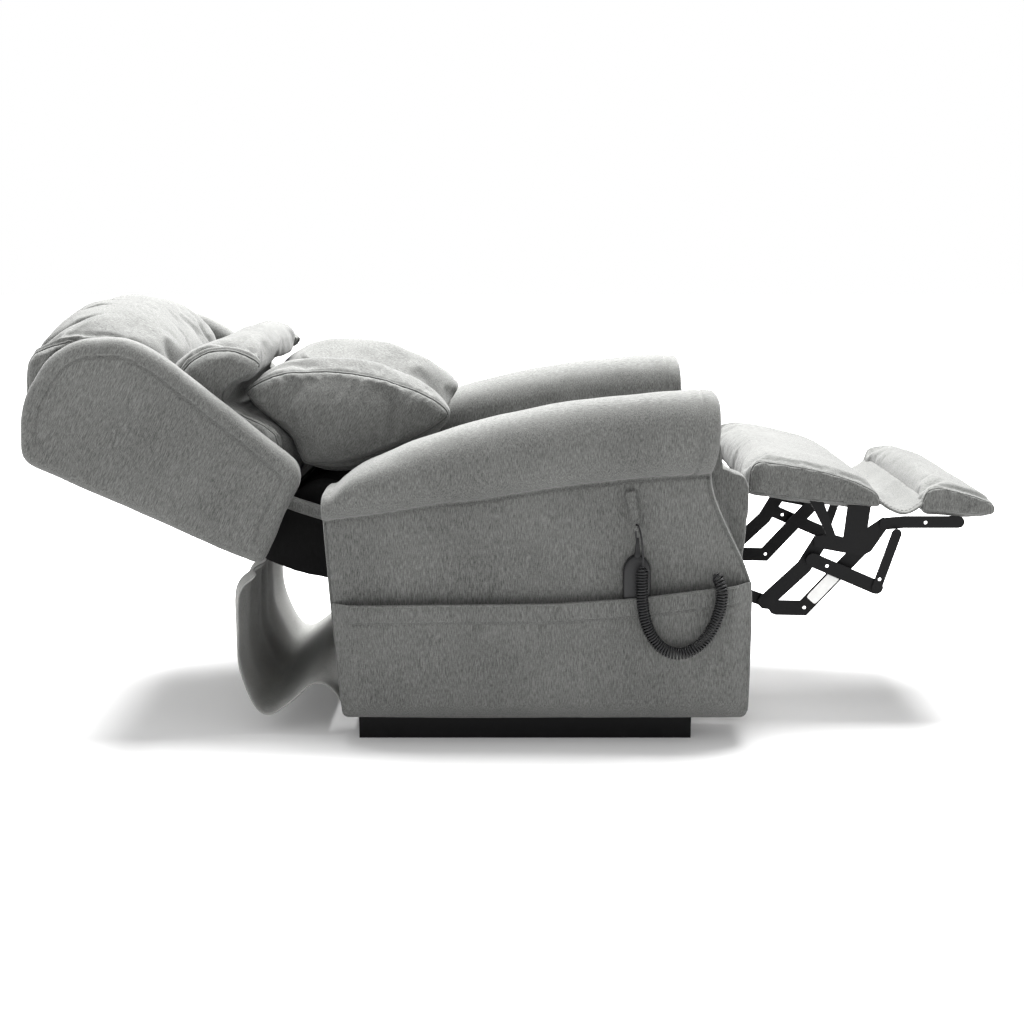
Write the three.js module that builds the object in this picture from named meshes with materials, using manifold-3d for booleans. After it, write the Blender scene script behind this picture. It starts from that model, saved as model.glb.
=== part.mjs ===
// Lift recliner chair with an extending footrest, a reclining back and a lift base.
// Frame: +X is the way the sitter faces, +Y is the sitter's left, +Z is up, millimetres.
// The origin is on the floor, under the middle of the chair. It is drawn reclined, with the
// footrest out and the lift base down.
import * as THREE from "three";
import { mergeVertices } from "three/addons/utils/BufferGeometryUtils.js";
import Module from "manifold-3d";

const wasm = await Module();
wasm.setup();

// ---------- driving dimensions ----------
const fitGap = 0.4; // clearance between touching pieces
const seatHalf = 260; // half the clear width between the arms
const armWidth = 116; // arm box, inner face to outer face
const rollOverhang = 26; // how far the arm roll stands outside the arm box
const armLift = 46; // floor to the bottom of the arm panels
const armFront = 419; // foremost X of the arm panels
const armRear = -302; // rearmost X of the arm panels at the bottom
const armTop = 632; // top of the arm roll at the front
const rollDepth = 146; // height of the roll above its seam
const pocketGap = 21; // space inside the side pocket
const pocketWall = 4; // pocket cloth with its lining
const plateThick = 3; // footrest link plates
const plateStep = 4; // pitch of the link plate layers
const linkOuter = seatHalf - 8; // outer face of the outermost link plate, from the middle
const linkHole = 3.2; // radius of the spare holes in the footrest links
const linkWidth = 28; // width of the footrest links
const liftLinkWidth = 24; // width of the links that lift the chair
const padHalf = seatHalf - 2; // half the width of the footrest pads
const sidePlateThick = 5; // seat mechanism side plates
const railSize = 34; // base tube section, width
const railHeight = 32; // base tube section, height
const railOuter = seatHalf + 80; // outer face of the base side rails
const baseFront = 322; // front end of the base
const baseRear = -275; // rear end of the base
const rodRadius = 9; // actuator rods
const eyeRadius = 12; // eyes at the ends of the rods
const eyeHalf = 11; // half the width of a rod eye
const eyeGap = 3; // open space beside a rod eye, where its loop of links is opened
const footMotorRetract = 84; // travel of the footrest actuator, which shortens as the footrest folds
const driveTubeRadius = 7; // tube that turns both drive links
const motorLength = 120; // actuator motor housings
const wingThick = 54; // padded wing of the back
const wingInner = seatHalf + 32; // inner face of the wings
const handsetWidth = 48; // remote control
const handsetThick = 17;
const coilRadius = 11; // outer radius of the coiled lead
const leadRadius = 1.8; // plain lead

// pivots, each as [X, Z]
const backPivot = [-180, 400];
const backAngle = 24.4; // slope of the reclined back above level, degrees
const backFoot = [-443, 313]; // lower rear corner of the back
const padHinge = [438, 425];
const drivePivot = [408, 394];
const linkPivotFront = [466.5, 226];
const linkPivotRear = [487, 214];
const bracketPivotFront = [563, 340];
const bracketPivotRear = [640, 327];
const flipperPivot = [679, 374];
const crossPivot = [549, 307];
const crossEnd = [666.4, 256.2];
const strutTop = [698.5, 357.2];
const liftRearBase = [120, 60];
const liftRearTop = [-235, 105];
const liftFrontBase = [257, 60];
const liftFrontTop = [75, 95];
const liftMotorBase = [-240, 62];
const liftMotorTop = [160, 140];
const reclineMotorFoot = [190, 200];
const reclineMotorTop = [-230, 300];
const footMotorFoot = [-120, 190];
const footMotorTop = [414, 300];
const reclineMotorY = 91; // sideways place of the recline actuator
const footMotorY = -95; // sideways place of the footrest actuator

// ---------- seat slopes ----------
const seatRear = -148; // rear end of the seat cushion
const seatFront = 412; // front end of the seat cushion
const seatUnder = (x) => 424 - (seatFront - x) * 0.098;
const seatOver = (x) => 482 - (seatFront - x) * 0.107;

// ---------- materials ----------
const finish = (color, roughness, metalness) =>
  new THREE.MeshStandardMaterial({ color, roughness, metalness });
const fabric = finish(0xa9aaa6, 0.95, 0);
const feltCloth = finish(0x9c9d9a, 0.95, 0);
const blackSteel = finish(0x17181a, 0.45, 0.6);
const blackCloth = finish(0x101113, 0.9, 0);
const blackPlastic = finish(0x141517, 0.5, 0);
const plainWood = finish(0xb18a5a, 0.7, 0);
const bareSteel = finish(0xb9bcc0, 0.3, 0.9);

// ---------- helpers ----------
const chair = new THREE.Group();
const sides = [["left", 1], ["right", -1]];

function place(name, geometry, material) {
  const mesh = new THREE.Mesh(geometry, material);
  mesh.name = name;
  chair.add(mesh);
  return mesh;
}

// A profile drawn in X and Z, extruded from Y = low to Y = high.
function slab(profile, low, high, curveSegments = 6) {
  const shape = profile instanceof THREE.Shape ? profile : outline(profile);
  const geometry = new THREE.ExtrudeGeometry(shape, {
    depth: high - low,
    bevelEnabled: false,
    curveSegments,
  });
  geometry.rotateX(Math.PI / 2);
  geometry.translate(0, high, 0);
  return geometry;
}

// The same slab on the left (side 1) or the right (side -1) of the chair.
function sideSlab(profile, inner, outer, side, curveSegments = 6) {
  return side > 0
    ? slab(profile, inner, outer, curveSegments)
    : slab(profile, -outer, -inner, curveSegments);
}

function outline(points) {
  return new THREE.Shape(points.map(([x, z]) => new THREE.Vector2(x, z)));
}

// An open smooth line through a few points, as count + 1 points.
function smoothLine(points, count) {
  const curve = new THREE.CatmullRomCurve3(
    points.map(([x, z]) => new THREE.Vector3(x, z, 0)),
    false,
    "centripetal",
  );
  return curve.getSpacedPoints(count).map((p) => [p.x, p.y]);
}

// A flat bar with round ends that follows a line of points.
function barOutline(points, width, capSteps = 5) {
  const half = width / 2;
  const heading = (a, b) => Math.atan2(b[1] - a[1], b[0] - a[0]);
  const edge = (line) =>
    line.map((p, i) => {
      const before = heading(line[Math.max(i - 1, 0)], line[Math.max(i, 1)]);
      const after = heading(line[Math.min(i, line.length - 2)], line[Math.min(i + 1, line.length - 1)]);
      const turn = Math.atan2(Math.sin(after - before), Math.cos(after - before));
      const reach = half / Math.cos(turn / 2);
      const across = before + turn / 2 + Math.PI / 2;
      return [p[0] + reach * Math.cos(across), p[1] + reach * Math.sin(across)];
    });
  const cap = (line) => {
    const end = line[line.length - 1];
    const start = heading(line[line.length - 2], end) + Math.PI / 2;
    const turns = [...Array(capSteps - 1).keys()].map((k) => start - (Math.PI * (k + 1)) / capSteps);
    return turns.map((t) => [end[0] + half * Math.cos(t), end[1] + half * Math.sin(t)]);
  };
  const back = points.slice().reverse();
  return outline([...edge(points), ...cap(points), ...edge(back), ...cap(back)]);
}

// A round hole cut through a profile.
function withHole(shape, [x, z], radius) {
  const hole = new THREE.Path();
  hole.absarc(x, z, radius, 0, Math.PI * 2, !THREE.ShapeUtils.isClockWise(shape.getPoints()));
  shape.holes.push(hole);
  return shape;
}

// A closed body through rings of [x, y, z] points, each ring with the same number of points.
function loft(rings) {
  const count = rings[0].length;
  const vertices = rings.flat();
  const faces = [];
  for (let r = 0; r + 1 < rings.length; r += 1) {
    for (let i = 0; i < count; i += 1) {
      const a = r * count + i;
      const b = r * count + ((i + 1) % count);
      faces.push([a, b, b + count], [a, b + count, a + count]);
    }
  }
  [0, rings.length - 1].forEach((r, end) => {
    const middle = [0, 1, 2].map((k) => rings[r].reduce((sum, p) => sum + p[k], 0) / count);
    const hub = vertices.push(middle) - 1;
    for (let i = 0; i < count; i += 1) {
      const a = r * count + i;
      const b = r * count + ((i + 1) % count);
      faces.push(end === 0 ? [b, a, hub] : [a, b, hub]);
    }
  });
  const volume = faces.reduce((sum, face) => {
    const [p, q, s] = face.map((v) => new THREE.Vector3(...vertices[v]));
    return sum + p.dot(q.cross(s));
  }, 0);
  const outward = volume > 0 ? faces : faces.map(([a, b, c]) => [a, c, b]);
  const geometry = new THREE.BufferGeometry();
  geometry.setAttribute("position", new THREE.Float32BufferAttribute(vertices.flat(), 3));
  geometry.setIndex(outward.flat());
  return geometry;
}

// A round bar between two points.
function rod(from, to, radius, segments = 12) {
  const a = new THREE.Vector3(...from);
  const b = new THREE.Vector3(...to);
  const geometry = new THREE.CylinderGeometry(radius, radius, a.distanceTo(b), segments);
  const turn = new THREE.Quaternion().setFromUnitVectors(
    new THREE.Vector3(0, 1, 0),
    b.clone().sub(a).normalize(),
  );
  geometry.applyQuaternion(turn);
  geometry.translate((a.x + b.x) / 2, (a.y + b.y) / 2, (a.z + b.z) / 2);
  return geometry;
}

// A pin across the chair at a pivot, on one side, from inner to outer.
function pin([x, z], inner, outer, side, radius) {
  return rod([x, side * inner, z], [x, side * outer, z], radius, 10);
}

function box(low, high) {
  const geometry = new THREE.BoxGeometry(high[0] - low[0], high[1] - low[1], high[2] - low[2]);
  geometry.translate((low[0] + high[0]) / 2, (low[1] + high[1]) / 2, (low[2] + high[2]) / 2);
  return geometry;
}

function solid(geometry) {
  const bare = geometry.clone();
  bare.deleteAttribute("normal");
  bare.deleteAttribute("uv");
  const merged = mergeVertices(bare, 1e-4);
  return new wasm.Manifold(
    new wasm.Mesh({
      numProp: 3,
      vertProperties: new Float32Array(merged.attributes.position.array),
      triVerts: new Uint32Array(merged.index.array),
    }),
  );
}

function fromSolid(body) {
  const mesh = body.getMesh();
  const geometry = new THREE.BufferGeometry();
  geometry.setAttribute("position", new THREE.BufferAttribute(mesh.vertProperties, 3));
  geometry.setIndex(new THREE.BufferAttribute(mesh.triVerts, 1));
  return geometry;
}

const joined = (...pieces) => fromSolid(pieces.map(solid).reduce((sum, piece) => sum.add(piece)));
const cut = (piece, ...tools) =>
  fromSolid(tools.map(solid).reduce((rest, tool) => rest.subtract(tool), solid(piece)));

// The inner face of a link plate layer, counted inwards from the outermost.
const layerOuter = (layer) => linkOuter - plateStep * layer;
const layerInner = (layer) => layerOuter(layer) - plateThick;
const strutLayer = 0;
const crossLayer = 1;
const flipperLayer = 2;
const bracketLayer = 3;
const frontLinkLayer = 4;
const rearLinkLayer = 5;
const driveLayer = 6;
const sidePlateInner = linkOuter + 1;
const sidePlateOuter = sidePlateInner + sidePlateThick;
const liftLinkOuter = seatHalf - 51;
const liftLinkInner = liftLinkOuter - 6;
const channelOuter = liftLinkInner - 2;
const channelInner = channelOuter - 14;
const pinRadius = 5;

// A flat link in one plate layer, with a pin at its first pivot that reaches the plate it turns on.
function linkBody(line, layer, pinFrom, pinTo, side, width = linkWidth, hole = null) {
  const shape = barOutline(line, width);
  if (hole) withHole(shape, hole, linkHole);
  const bar = sideSlab(shape, layerInner(layer), layerOuter(layer), side);
  return joined(bar, pin(line[0], pinFrom, pinTo, side, pinRadius));
}

function link(name, line, layer, pinFrom, pinTo, side, width = linkWidth, hole = null) {
  return place(name, linkBody(line, layer, pinFrom, pinTo, side, width, hole), blackSteel);
}

// ---------- lift base ----------
function buildBase() {
  const top = railHeight + 8;
  const tubeOuter = railOuter - railSize - fitGap;
  sides.forEach(([word, side]) => {
    const outer = side * railOuter;
    const inner = side * (railOuter - railSize);
    const low = [baseRear, Math.min(outer, inner), 0];
    const high = [baseFront, Math.max(outer, inner), top];
    place(`base_side_rail_${word}`, box(low, high), blackSteel);
    const ear = 14;
    const floor = 10;
    const line = [
      [baseRear + railSize + fitGap, floor],
      [baseFront - railSize - fitGap, floor],
      [baseFront - railSize - fitGap, top],
      [liftFrontBase[0] + ear + 6, top],
      [liftFrontBase[0] + ear, liftFrontBase[1] + ear],
      [liftFrontBase[0] - ear, liftFrontBase[1] + ear],
      [liftFrontBase[0] - ear - 6, top],
      [liftRearBase[0] + ear + 6, top],
      [liftRearBase[0] + ear, liftRearBase[1] + ear],
      [liftRearBase[0] - ear, liftRearBase[1] + ear],
      [liftRearBase[0] - ear - 6, top],
      [baseRear + railSize + fitGap, top],
    ];
    const channel = sideSlab(line, channelInner, channelOuter, side);
    place(`base_link_channel_${word}`, channel, blackSteel);
  });
  const floor = 10;
  place(
    "base_front_tube",
    box([baseFront - railSize, -tubeOuter, floor], [baseFront, tubeOuter, top]),
    blackSteel,
  );
  const rearTube = box([baseRear, -tubeOuter, floor], [baseRear + railSize, tubeOuter, top]);
  const eye = [-1, 1].map((side) =>
    box(
      [liftMotorBase[0] - 16, side > 0 ? 20 : -26, top - 4],
      [liftMotorBase[0] + 16, side > 0 ? 26 : -20, liftMotorBase[1] + 14],
    ),
  );
  place("base_rear_tube", joined(rearTube, ...eye), blackSteel);
}

// ---------- lift links ----------
function buildLiftLinks() {
  const links = [
    ["rear", liftRearBase, liftRearTop],
    ["front", liftFrontBase, liftFrontTop],
  ];
  links.forEach(([word, foot, top]) => {
    sides.forEach(([sideWord, side]) => {
      const bar = sideSlab(barOutline([foot, top], liftLinkWidth), liftLinkInner, liftLinkOuter, side);
      const pinFoot = pin(foot, channelOuter + fitGap, liftLinkInner + 1, side, 7);
      const pinTop = pin(top, liftLinkOuter - 1, sidePlateInner - fitGap, side, 7);
      place(`${word}_lift_link_${sideWord}`, joined(bar, pinFoot, pinTop), blackSteel);
    });
  });
}

// A linear actuator: a tube with a motor under its foot end, and a rod that slides out of it.
function buildActuator(name, foot, top, y, retract, motorSide) {
  const start = new THREE.Vector2(...foot);
  const end = new THREE.Vector2(...top);
  const along = end.clone().sub(start).normalize();
  const across = new THREE.Vector2(-along.y, along.x).multiplyScalar(motorSide);
  const at = (s, t, side) => [
    start.x + along.x * s + across.x * t,
    side,
    start.y + along.y * s + across.y * t,
  ];
  const length = start.distanceTo(end);
  const tubeEnd = length - retract - eyeRadius - 18;
  const bore = rodRadius + 0.5;
  const boreStart = 40;
  const tube = rod(at(-12, 0, y), at(tubeEnd, 0, y), 17, 16);
  const motor = rod(at(50, 30, y), at(50 + motorLength, 30, y), 21, 14);
  const gearCase = rod(at(30, 15, y), at(68, 15, y), 27, 14);
  const hollow = rod(at(boreStart, 0, y), at(tubeEnd + 5, 0, y), bore, 12);
  place(`${name}_housing`, cut(joined(tube, motor, gearCase), hollow), blackPlastic);
  const rodStart = boreStart + retract + 3;
  const eye = rod(at(length, 0, y - eyeHalf), at(length, 0, y + eyeHalf), eyeRadius, 14);
  const slider = rod(at(rodStart, 0, y), at(length, 0, y), rodRadius, 12);
  place(`${name}_rod`, joined(slider, eye), bareSteel);
}

// The clevis on the front cross tube that the lift actuator pushes, with its pin.
function liftLugs(x, z) {
  const lug = barOutline([[x, z], liftMotorTop], 26);
  const near = eyeHalf + eyeGap;
  return [slab(lug, near, near + 5), slab(lug, -near - 5, -near)];
}

// ---------- seat frame ----------
function buildSeatFrame() {
  const arm = 18;
  const profile = [
    [liftRearTop[0] - arm, liftRearTop[1] - arm],
    [liftFrontTop[0] + arm, liftFrontTop[1] - arm],
    [reclineMotorFoot[0] + 30, 160],
    [reclineMotorFoot[0] + 40, 190],
    [reclineMotorFoot[0] + 40, 320],
    [300, 362],
    [drivePivot[0], drivePivot[1] - 12],
    [drivePivot[0] + 10, drivePivot[1] - 5],
    [drivePivot[0] + 10, drivePivot[1] + 5],
    [drivePivot[0], drivePivot[1] + 12],
    [seatRear + 6, seatUnder(seatRear) - 3],
    [seatRear - 3, seatUnder(seatRear) - 1],
    [backPivot[0] + 20, backPivot[1] + 6],
    [backPivot[0] - 4, backPivot[1] + 20],
    [backPivot[0] - 20, backPivot[1] + 4],
    [backPivot[0] - 20, 300],
    [liftRearTop[0] - arm, 160],
  ];
  sides.forEach(([word, side]) => {
    const shape = outline(profile);
    withHole(shape, [-90, 250], 55);
    withHole(shape, [70, 250], 60);
    withHole(shape, [-130, 130], 20);
    place(`seat_side_plate_${word}`, sideSlab(shape, sidePlateInner, sidePlateOuter, side, 10), blackSteel);
  });
  const tubes = [
    ["rear_cross_tube", footMotorFoot, -1, footMotorY],
    ["front_cross_tube", reclineMotorFoot, 1, reclineMotorY],
  ];
  const reach = sidePlateInner - fitGap;
  tubes.forEach(([name, [x, z], way, y]) => {
    const middle = x + way * 28;
    const tubeBar = box([middle - 10, -reach, z - 13], [middle + 10, reach, z + 13]);
    const lugs = [-1, 1].map((side) => {
      const centre = y + side * 22;
      const low = Math.min(x - way * 12, middle);
      const high = Math.max(x - way * 12, middle);
      return box([low, centre - 2.5, z - 12], [high, centre + 2.5, z + 12]);
    });
    const extras = way > 0 ? liftLugs(middle, z) : [];
    place(name, joined(tubeBar, ...lugs, ...extras), blackSteel);
  });
}

// ---------- seat ----------
function buildSeat() {
  const cushion = [
    [seatRear, seatUnder(seatRear) + 6],
    [seatRear + 8, seatUnder(seatRear)],
    [seatFront - 12, seatUnder(seatFront)],
    [seatFront, seatUnder(seatFront) + 14],
    [seatFront, seatOver(seatFront) - 22],
    [seatFront - 20, seatOver(seatFront)],
    [seatRear + 24, seatOver(seatRear)],
    [seatRear, seatOver(seatRear) - 20],
  ];
  const half = seatHalf - 6;
  place("seat_cushion", slab(cushion, -half, half), fabric);
  const deckFront = 268;
  const drop = 1.5;
  const deck = [
    [seatRear + 70, seatUnder(seatRear + 70) - drop - 12],
    [deckFront, seatUnder(deckFront) - drop - 12],
    [deckFront, seatUnder(deckFront) - drop],
    [seatRear + 70, seatUnder(seatRear + 70) - drop],
  ];
  const deckHalf = layerInner(driveLayer) - 6;
  place("seat_spring_deck", slab(deck, -deckHalf, deckHalf), plainWood);
  const railHalf = layerInner(driveLayer) - 8;
  place("front_seat_rail", box([386, -railHalf, 376], [408, railHalf, seatUnder(386) - 2]), fabric);
}

// ---------- arms ----------
const boxOuter = seatHalf + armWidth;
const rollCrown = smoothLine(
  [[-322, -162], [-293, -120], [-231, -91], [-136, -60], [-21, -35], [118, -15], [327, 0], [372, -2]]
    .map(([x, below]) => [x, armTop + below]),
  40,
);
const armSeam = smoothLine(
  [[-330, -81], [-248, -71], [-133, -53], [-50, -45], [82, -24], [213, -10], [338, -1], [372, 0]]
    .map(([x, below]) => [x, armTop - rollDepth + below]),
  40,
);
const armFrontEdge = smoothLine(
  [
    [armFront, armLift],
    [armFront, 180],
    [armFront - 3, 297],
    [armFront - 33, armTop - rollDepth - 120],
    [armFront - 66, armTop - rollDepth - 46],
    [armFront - 75, armTop - rollDepth - 2],
  ],
  24,
);

// Height of a line of [x, z] points at x.
function heightAt(line, x) {
  const next = line.findIndex((p) => p[0] >= x);
  if (next <= 0) return next === 0 ? line[0][1] : line[line.length - 1][1];
  const [a, b] = [line[next - 1], line[next]];
  return a[1] + ((b[1] - a[1]) * (x - a[0])) / (b[0] - a[0]);
}

// Front edge of the arm box at height z.
function frontAt(z) {
  const next = armFrontEdge.findIndex((p) => p[1] >= z);
  if (next < 0) return armFrontEdge[armFrontEdge.length - 1][0];
  if (next === 0) return armFrontEdge[0][0];
  const [a, b] = [armFrontEdge[next - 1], armFrontEdge[next]];
  return a[0] + ((b[0] - a[0]) * (z - a[1])) / (b[1] - a[1]);
}

function buildArms() {
  const stations = [0, 0.04, 0.15, 0.3, 0.45, 0.6, 0.75, 0.9, 0.97, 1];
  const rollFront = armFront - 66;
  sides.forEach(([word, side]) => {
    const rings = stations.map((f) => {
      const xRoll = -322 + (rollFront + 322) * f;
      const seam = heightAt(armSeam, xRoll);
      const endDrop = f === 1 ? 22 : f === 0 ? 8 : 0;
      const crown = heightAt(rollCrown, xRoll) - endDrop;
      const height = crown - seam;
      const swell = f === 1 ? rollOverhang * 0.4 : f === 0 ? rollOverhang * 0.3 : rollOverhang;
      const outer = boxOuter;
      const inner = seatHalf;
      const width = outer - inner;
      const wallTop = seam - 8;
      const low = [0, 0.03, 0.24, 0.44, 0.58, 0.7, 0.85, 1].map((t) => armLift + (wallTop - armLift) * t);
      const xAt = (z) => {
        const rear = armRear - (z - armLift) * 0.038;
        return rear + (frontAt(z) - rear) * f;
      };
      const wall = (y) => low.map((z) => [xAt(z), y, z]);
      const roll = [
        [outer + swell * 0.55, seam + height * 0.12],
        [outer + swell, seam + height * 0.42],
        [outer + swell * 0.75, seam + height * 0.72],
        [outer - width * 0.16, seam + height * 0.93],
        [outer - width * 0.45, crown],
        [outer - width * 0.75, seam + height * 0.95],
        [inner + 4, seam + height * 0.72],
        [inner, seam + height * 0.3],
      ].map(([y, z]) => [xRoll, y, z]);
      const bulge = f === 1 ? -14 : f === 0 ? 6 : 0;
      const shaped = roll.map(([x, y, z], i) => [x + (i % 3 === 0 ? bulge * 0.4 : 0), y, z]);
      const ring = [...wall(outer), ...shaped, ...wall(inner).reverse()];
      return ring.map(([x, y, z]) => [x, side * y, z]);
    });
    place(`arm_${word}`, loft(rings), fabric);
  });
}

// ---------- side pockets ----------
function buildPockets() {
  const top = smoothLine([[armRear + 4, 260], [80, 264], [220, 274], [armFront - 3, 300]], 12);
  const floor = armLift + 4;
  const corner = 10;
  const edge = [
    ...top,
    [armFront - 3, floor + corner],
    [armFront - 3 - corner, floor],
    [armRear + 4 + corner, floor],
    [armRear + 4, floor + corner],
  ];
  const inner = boxOuter + fitGap;
  const outer = boxOuter + pocketGap + pocketWall;
  sides.forEach(([word, side]) => {
    const whole = sideSlab(edge, inner, outer, side);
    const space = sideSlab(
      [
        [armRear + 16, floor + 16],
        [armFront - 15, floor + 16],
        [armFront - 15, 340],
        [armRear + 16, 340],
      ],
      inner - 1,
      outer - pocketWall,
      side,
    );
    place(`side_pocket_${word}`, cut(whole, space), fabric);
  });
}

// ---------- back ----------
const slope = THREE.MathUtils.degToRad(backAngle);

// A point of the back, from distance up the back and distance out from its rear face.
function backPoint([up, out]) {
  return [
    backFoot[0] - up * Math.cos(slope) + out * Math.sin(slope),
    backFoot[1] + up * Math.sin(slope) + out * Math.cos(slope),
  ];
}

function buildBack() {
  const backLength = 456;
  const board = 62;
  const coreHalf = wingInner - 2;
  const core = [[30, 0], [backLength - 12, 0], [backLength, 12], [backLength, board], [30, board]];
  place("back_panel", slab(core.map(backPoint), -coreHalf, coreHalf), fabric);
  const wing = [
    [0, 0], [backLength + 2, 0], [496, 92], [482, 190], [450, 238], [371, 279],
    [300, 274], [160, 236], [14, 196], [-4, 170], [2, 110],
  ];
  sides.forEach(([word, side]) => {
    const shape = outline(wing.map(backPoint));
    place(`back_wing_${word}`, sideSlab(shape, wingInner, wingInner + wingThick, side), fabric);
  });
  const lowerHalf = seatHalf - 54;
  const lower = [
    backPoint([26, 2]), backPoint([26, board - 4]), [-345, 455], [-236, 405],
    [-232, 300], [-330, 278], [-420, 304],
  ];
  const lever = barOutline([[backPivot[0] - 62, 372], reclineMotorTop], 30);
  const near = eyeHalf + eyeGap;
  const levers = [near, -near - 6].map((y) => slab(lever, reclineMotorY + y, reclineMotorY + y + 6));
  const strap = barOutline([[-300, 350], [backPivot[0] - 30, backPivot[1] - 30], backPivot], 30);
  const straps = sides.map(([, side]) => sideSlab(strap, lowerHalf - 4, sidePlateInner - fitGap, side));
  const slot = box([-270, reclineMotorY - 14, 262], [-200, reclineMotorY + 14, 400]);
  const frame = cut(slab(lower, -lowerHalf, lowerHalf), slot);
  place("lower_back_frame", joined(frame, ...levers, ...straps), blackCloth);
  const clear = board + 3;
  const head = [
    [290, clear], [452, clear], [505, 96], [520, 150], [505, 215], [458, 275],
    [386, 314], [310, 308], [282, 270],
  ];
  const middle = [
    [44, clear], [284, clear], [281, 200], [276, 262], [262, 302], [232, 330], [190, 342],
    [152, 340], [134, 326], [164, 290], [181, 256], [166, 236], [60, 215],
  ];
  const lumbar = [
    [166, 256], [150, 286], [120, 318], [81, 342], [9, 373], [-56, 390], [-130, 396],
    [-190, 386], [-198, 360], [-150, 290], [-80, 222], [-30, 192], [14, 192], [60, 222],
    [130, 240],
  ];
  place("head_pillow", slab(head.map(backPoint), -(wingInner - 4), wingInner - 4), fabric);
  place("middle_pillow", slab(middle.map(backPoint), -(wingInner - 4), wingInner - 4), fabric);
  place("lumbar_pillow", slab(lumbar.map(backPoint), -(seatHalf - 8), seatHalf - 8), fabric);
}

// ---------- footrest ----------
function buildFootrest() {
  const tubeEnd = {
    left: footMotorY + eyeHalf + eyeGap,
    right: footMotorY - eyeHalf - eyeGap,
  };
  const padUnder = (x) => 430 - (x - 420) * 0.105;
  sides.forEach(([word, side]) => {
    const plateReach = sidePlateInner - fitGap;
    const driveLine = [drivePivot, footMotorTop, [424, 241], linkPivotFront, linkPivotRear];
    const drive = linkBody(driveLine, driveLayer, layerInner(driveLayer), plateReach, side, 22);
    const [tubeX, tubeZ] = footMotorTop;
    const driveTube = rod(
      [tubeX, tubeEnd[word], tubeZ],
      [tubeX, side * (layerInner(driveLayer) + 1), tubeZ],
      driveTubeRadius,
    );
    place(`drive_link_${word}`, joined(drive, driveTube), blackSteel);
    const frontLine = [linkPivotFront, [535, 292], bracketPivotFront];
    const overDrive = layerOuter(driveLayer) + fitGap;
    link(`front_footrest_link_${word}`, frontLine, frontLinkLayer,
      overDrive, layerOuter(frontLinkLayer), side);
    const rearLine = [linkPivotRear, [537, 213], bracketPivotRear];
    link(`rear_footrest_link_${word}`, rearLine, rearLinkLayer, overDrive,
      layerOuter(rearLinkLayer), side, linkWidth, [539, 214]);
    const overFront = layerOuter(frontLinkLayer) + fitGap;
    link(`cross_link_${word}`, [crossPivot, crossEnd], crossLayer, overFront,
      layerOuter(crossLayer), side, 26, [575, 296]);
    const overCross = layerOuter(crossLayer) + fitGap;
    link(`flipper_strut_${word}`, [crossEnd, strutTop], strutLayer, overCross,
      layerOuter(strutLayer), side, 18, [671, 272]);
    const plate = outline([
      [540, padUnder(540) - 1],
      [574, 352],
      [550, 350],
      [552, 331],
      [570, 326],
      [640, 313],
      [656, 322],
      [flipperPivot[0] + 2, flipperPivot[1] - 13],
      [flipperPivot[0] + 12, flipperPivot[1] + 4],
      [flipperPivot[0] - 4, flipperPivot[1] + 11],
      [648, 366],
      [652, padUnder(652) - 1],
      [610, padUnder(610) - 1],
      [604, 348],
      [590, 352],
      [566, padUnder(566) - 1],
    ]);
    const inner = layerInner(bracketLayer);
    const outer = layerOuter(bracketLayer);
    const pinFront = pin(bracketPivotFront, layerOuter(frontLinkLayer) + fitGap, outer, side, pinRadius);
    const pinRear = pin(bracketPivotRear, layerOuter(rearLinkLayer) + fitGap, outer, side, pinRadius);
    place(`ottoman_bracket_${word}`,
      joined(sideSlab(plate, inner, outer, side), pinFront, pinRear), blackSteel);
    const flipperLine = [flipperPivot, [712, 377], [812, 377]];
    link(`flipper_bracket_${word}`, flipperLine, flipperLayer, outer + fitGap,
      layerOuter(flipperLayer), side, 22, [752, 376]);
  });
  const pad = [
    [425, 436], [425, 470], [433, 486], [450, 492], [500, 486], [560, 474], [620, 456],
    [660, 434], [668, 420], [664, padUnder(664)], [428, padUnder(428)],
  ];
  place("leg_pad", slab(pad, -padHalf, padHalf), fabric);
  const flap = [[669.5, 412], [690, 396], [706, 391], [722, 394], [740, 406], [740, 410], [722, 398],
    [706, 395], [690, 400], [669.5, 417]];
  place("pad_flap", slab(flap, -padHalf + 8, padHalf - 8), fabric);
  const flipper = [
    [743, 398], [742, 425], [752, 441], [775, 445], [820, 434], [862, 419], [876, 408], [876, 394],
    [866, 388.5],
  ];
  place("flipper_pad", slab(flipper, -padHalf, padHalf), fabric);
}

// ---------- handset with its coiled lead ----------
const handsetX = 217;
const coilRoute = [
  [225, -boxOuter - 37, 334], [224, -boxOuter - 38, 300], [226, -boxOuter - 38, 262],
  [236, -boxOuter - 38, 222], [258, -boxOuter - 38, 190], [288, -boxOuter - 38, 178],
  [318, -boxOuter - 38, 188], [342, -boxOuter - 38, 214], [357, -boxOuter - 38, 250],
  [362, -boxOuter - 38, 284], [358, -boxOuter - 33, 306], [350, -boxOuter - 22, 316],
];
const leadRoute = [
  [handsetX, -boxOuter - 12, 353], [handsetX - 1, -boxOuter - 12, 368],
  [handsetX - 3, -boxOuter - 14, 386], [handsetX - 4, -boxOuter - 19, 399],
  [handsetX - 2, -boxOuter - 26, 404], [handsetX + 2, -boxOuter - 32, 396],
  [handsetX + 6, -boxOuter - 36, 374], [handsetX + 8, -boxOuter - 37, 350],
  [handsetX + 8, -boxOuter - 37, 335],
];

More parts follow.
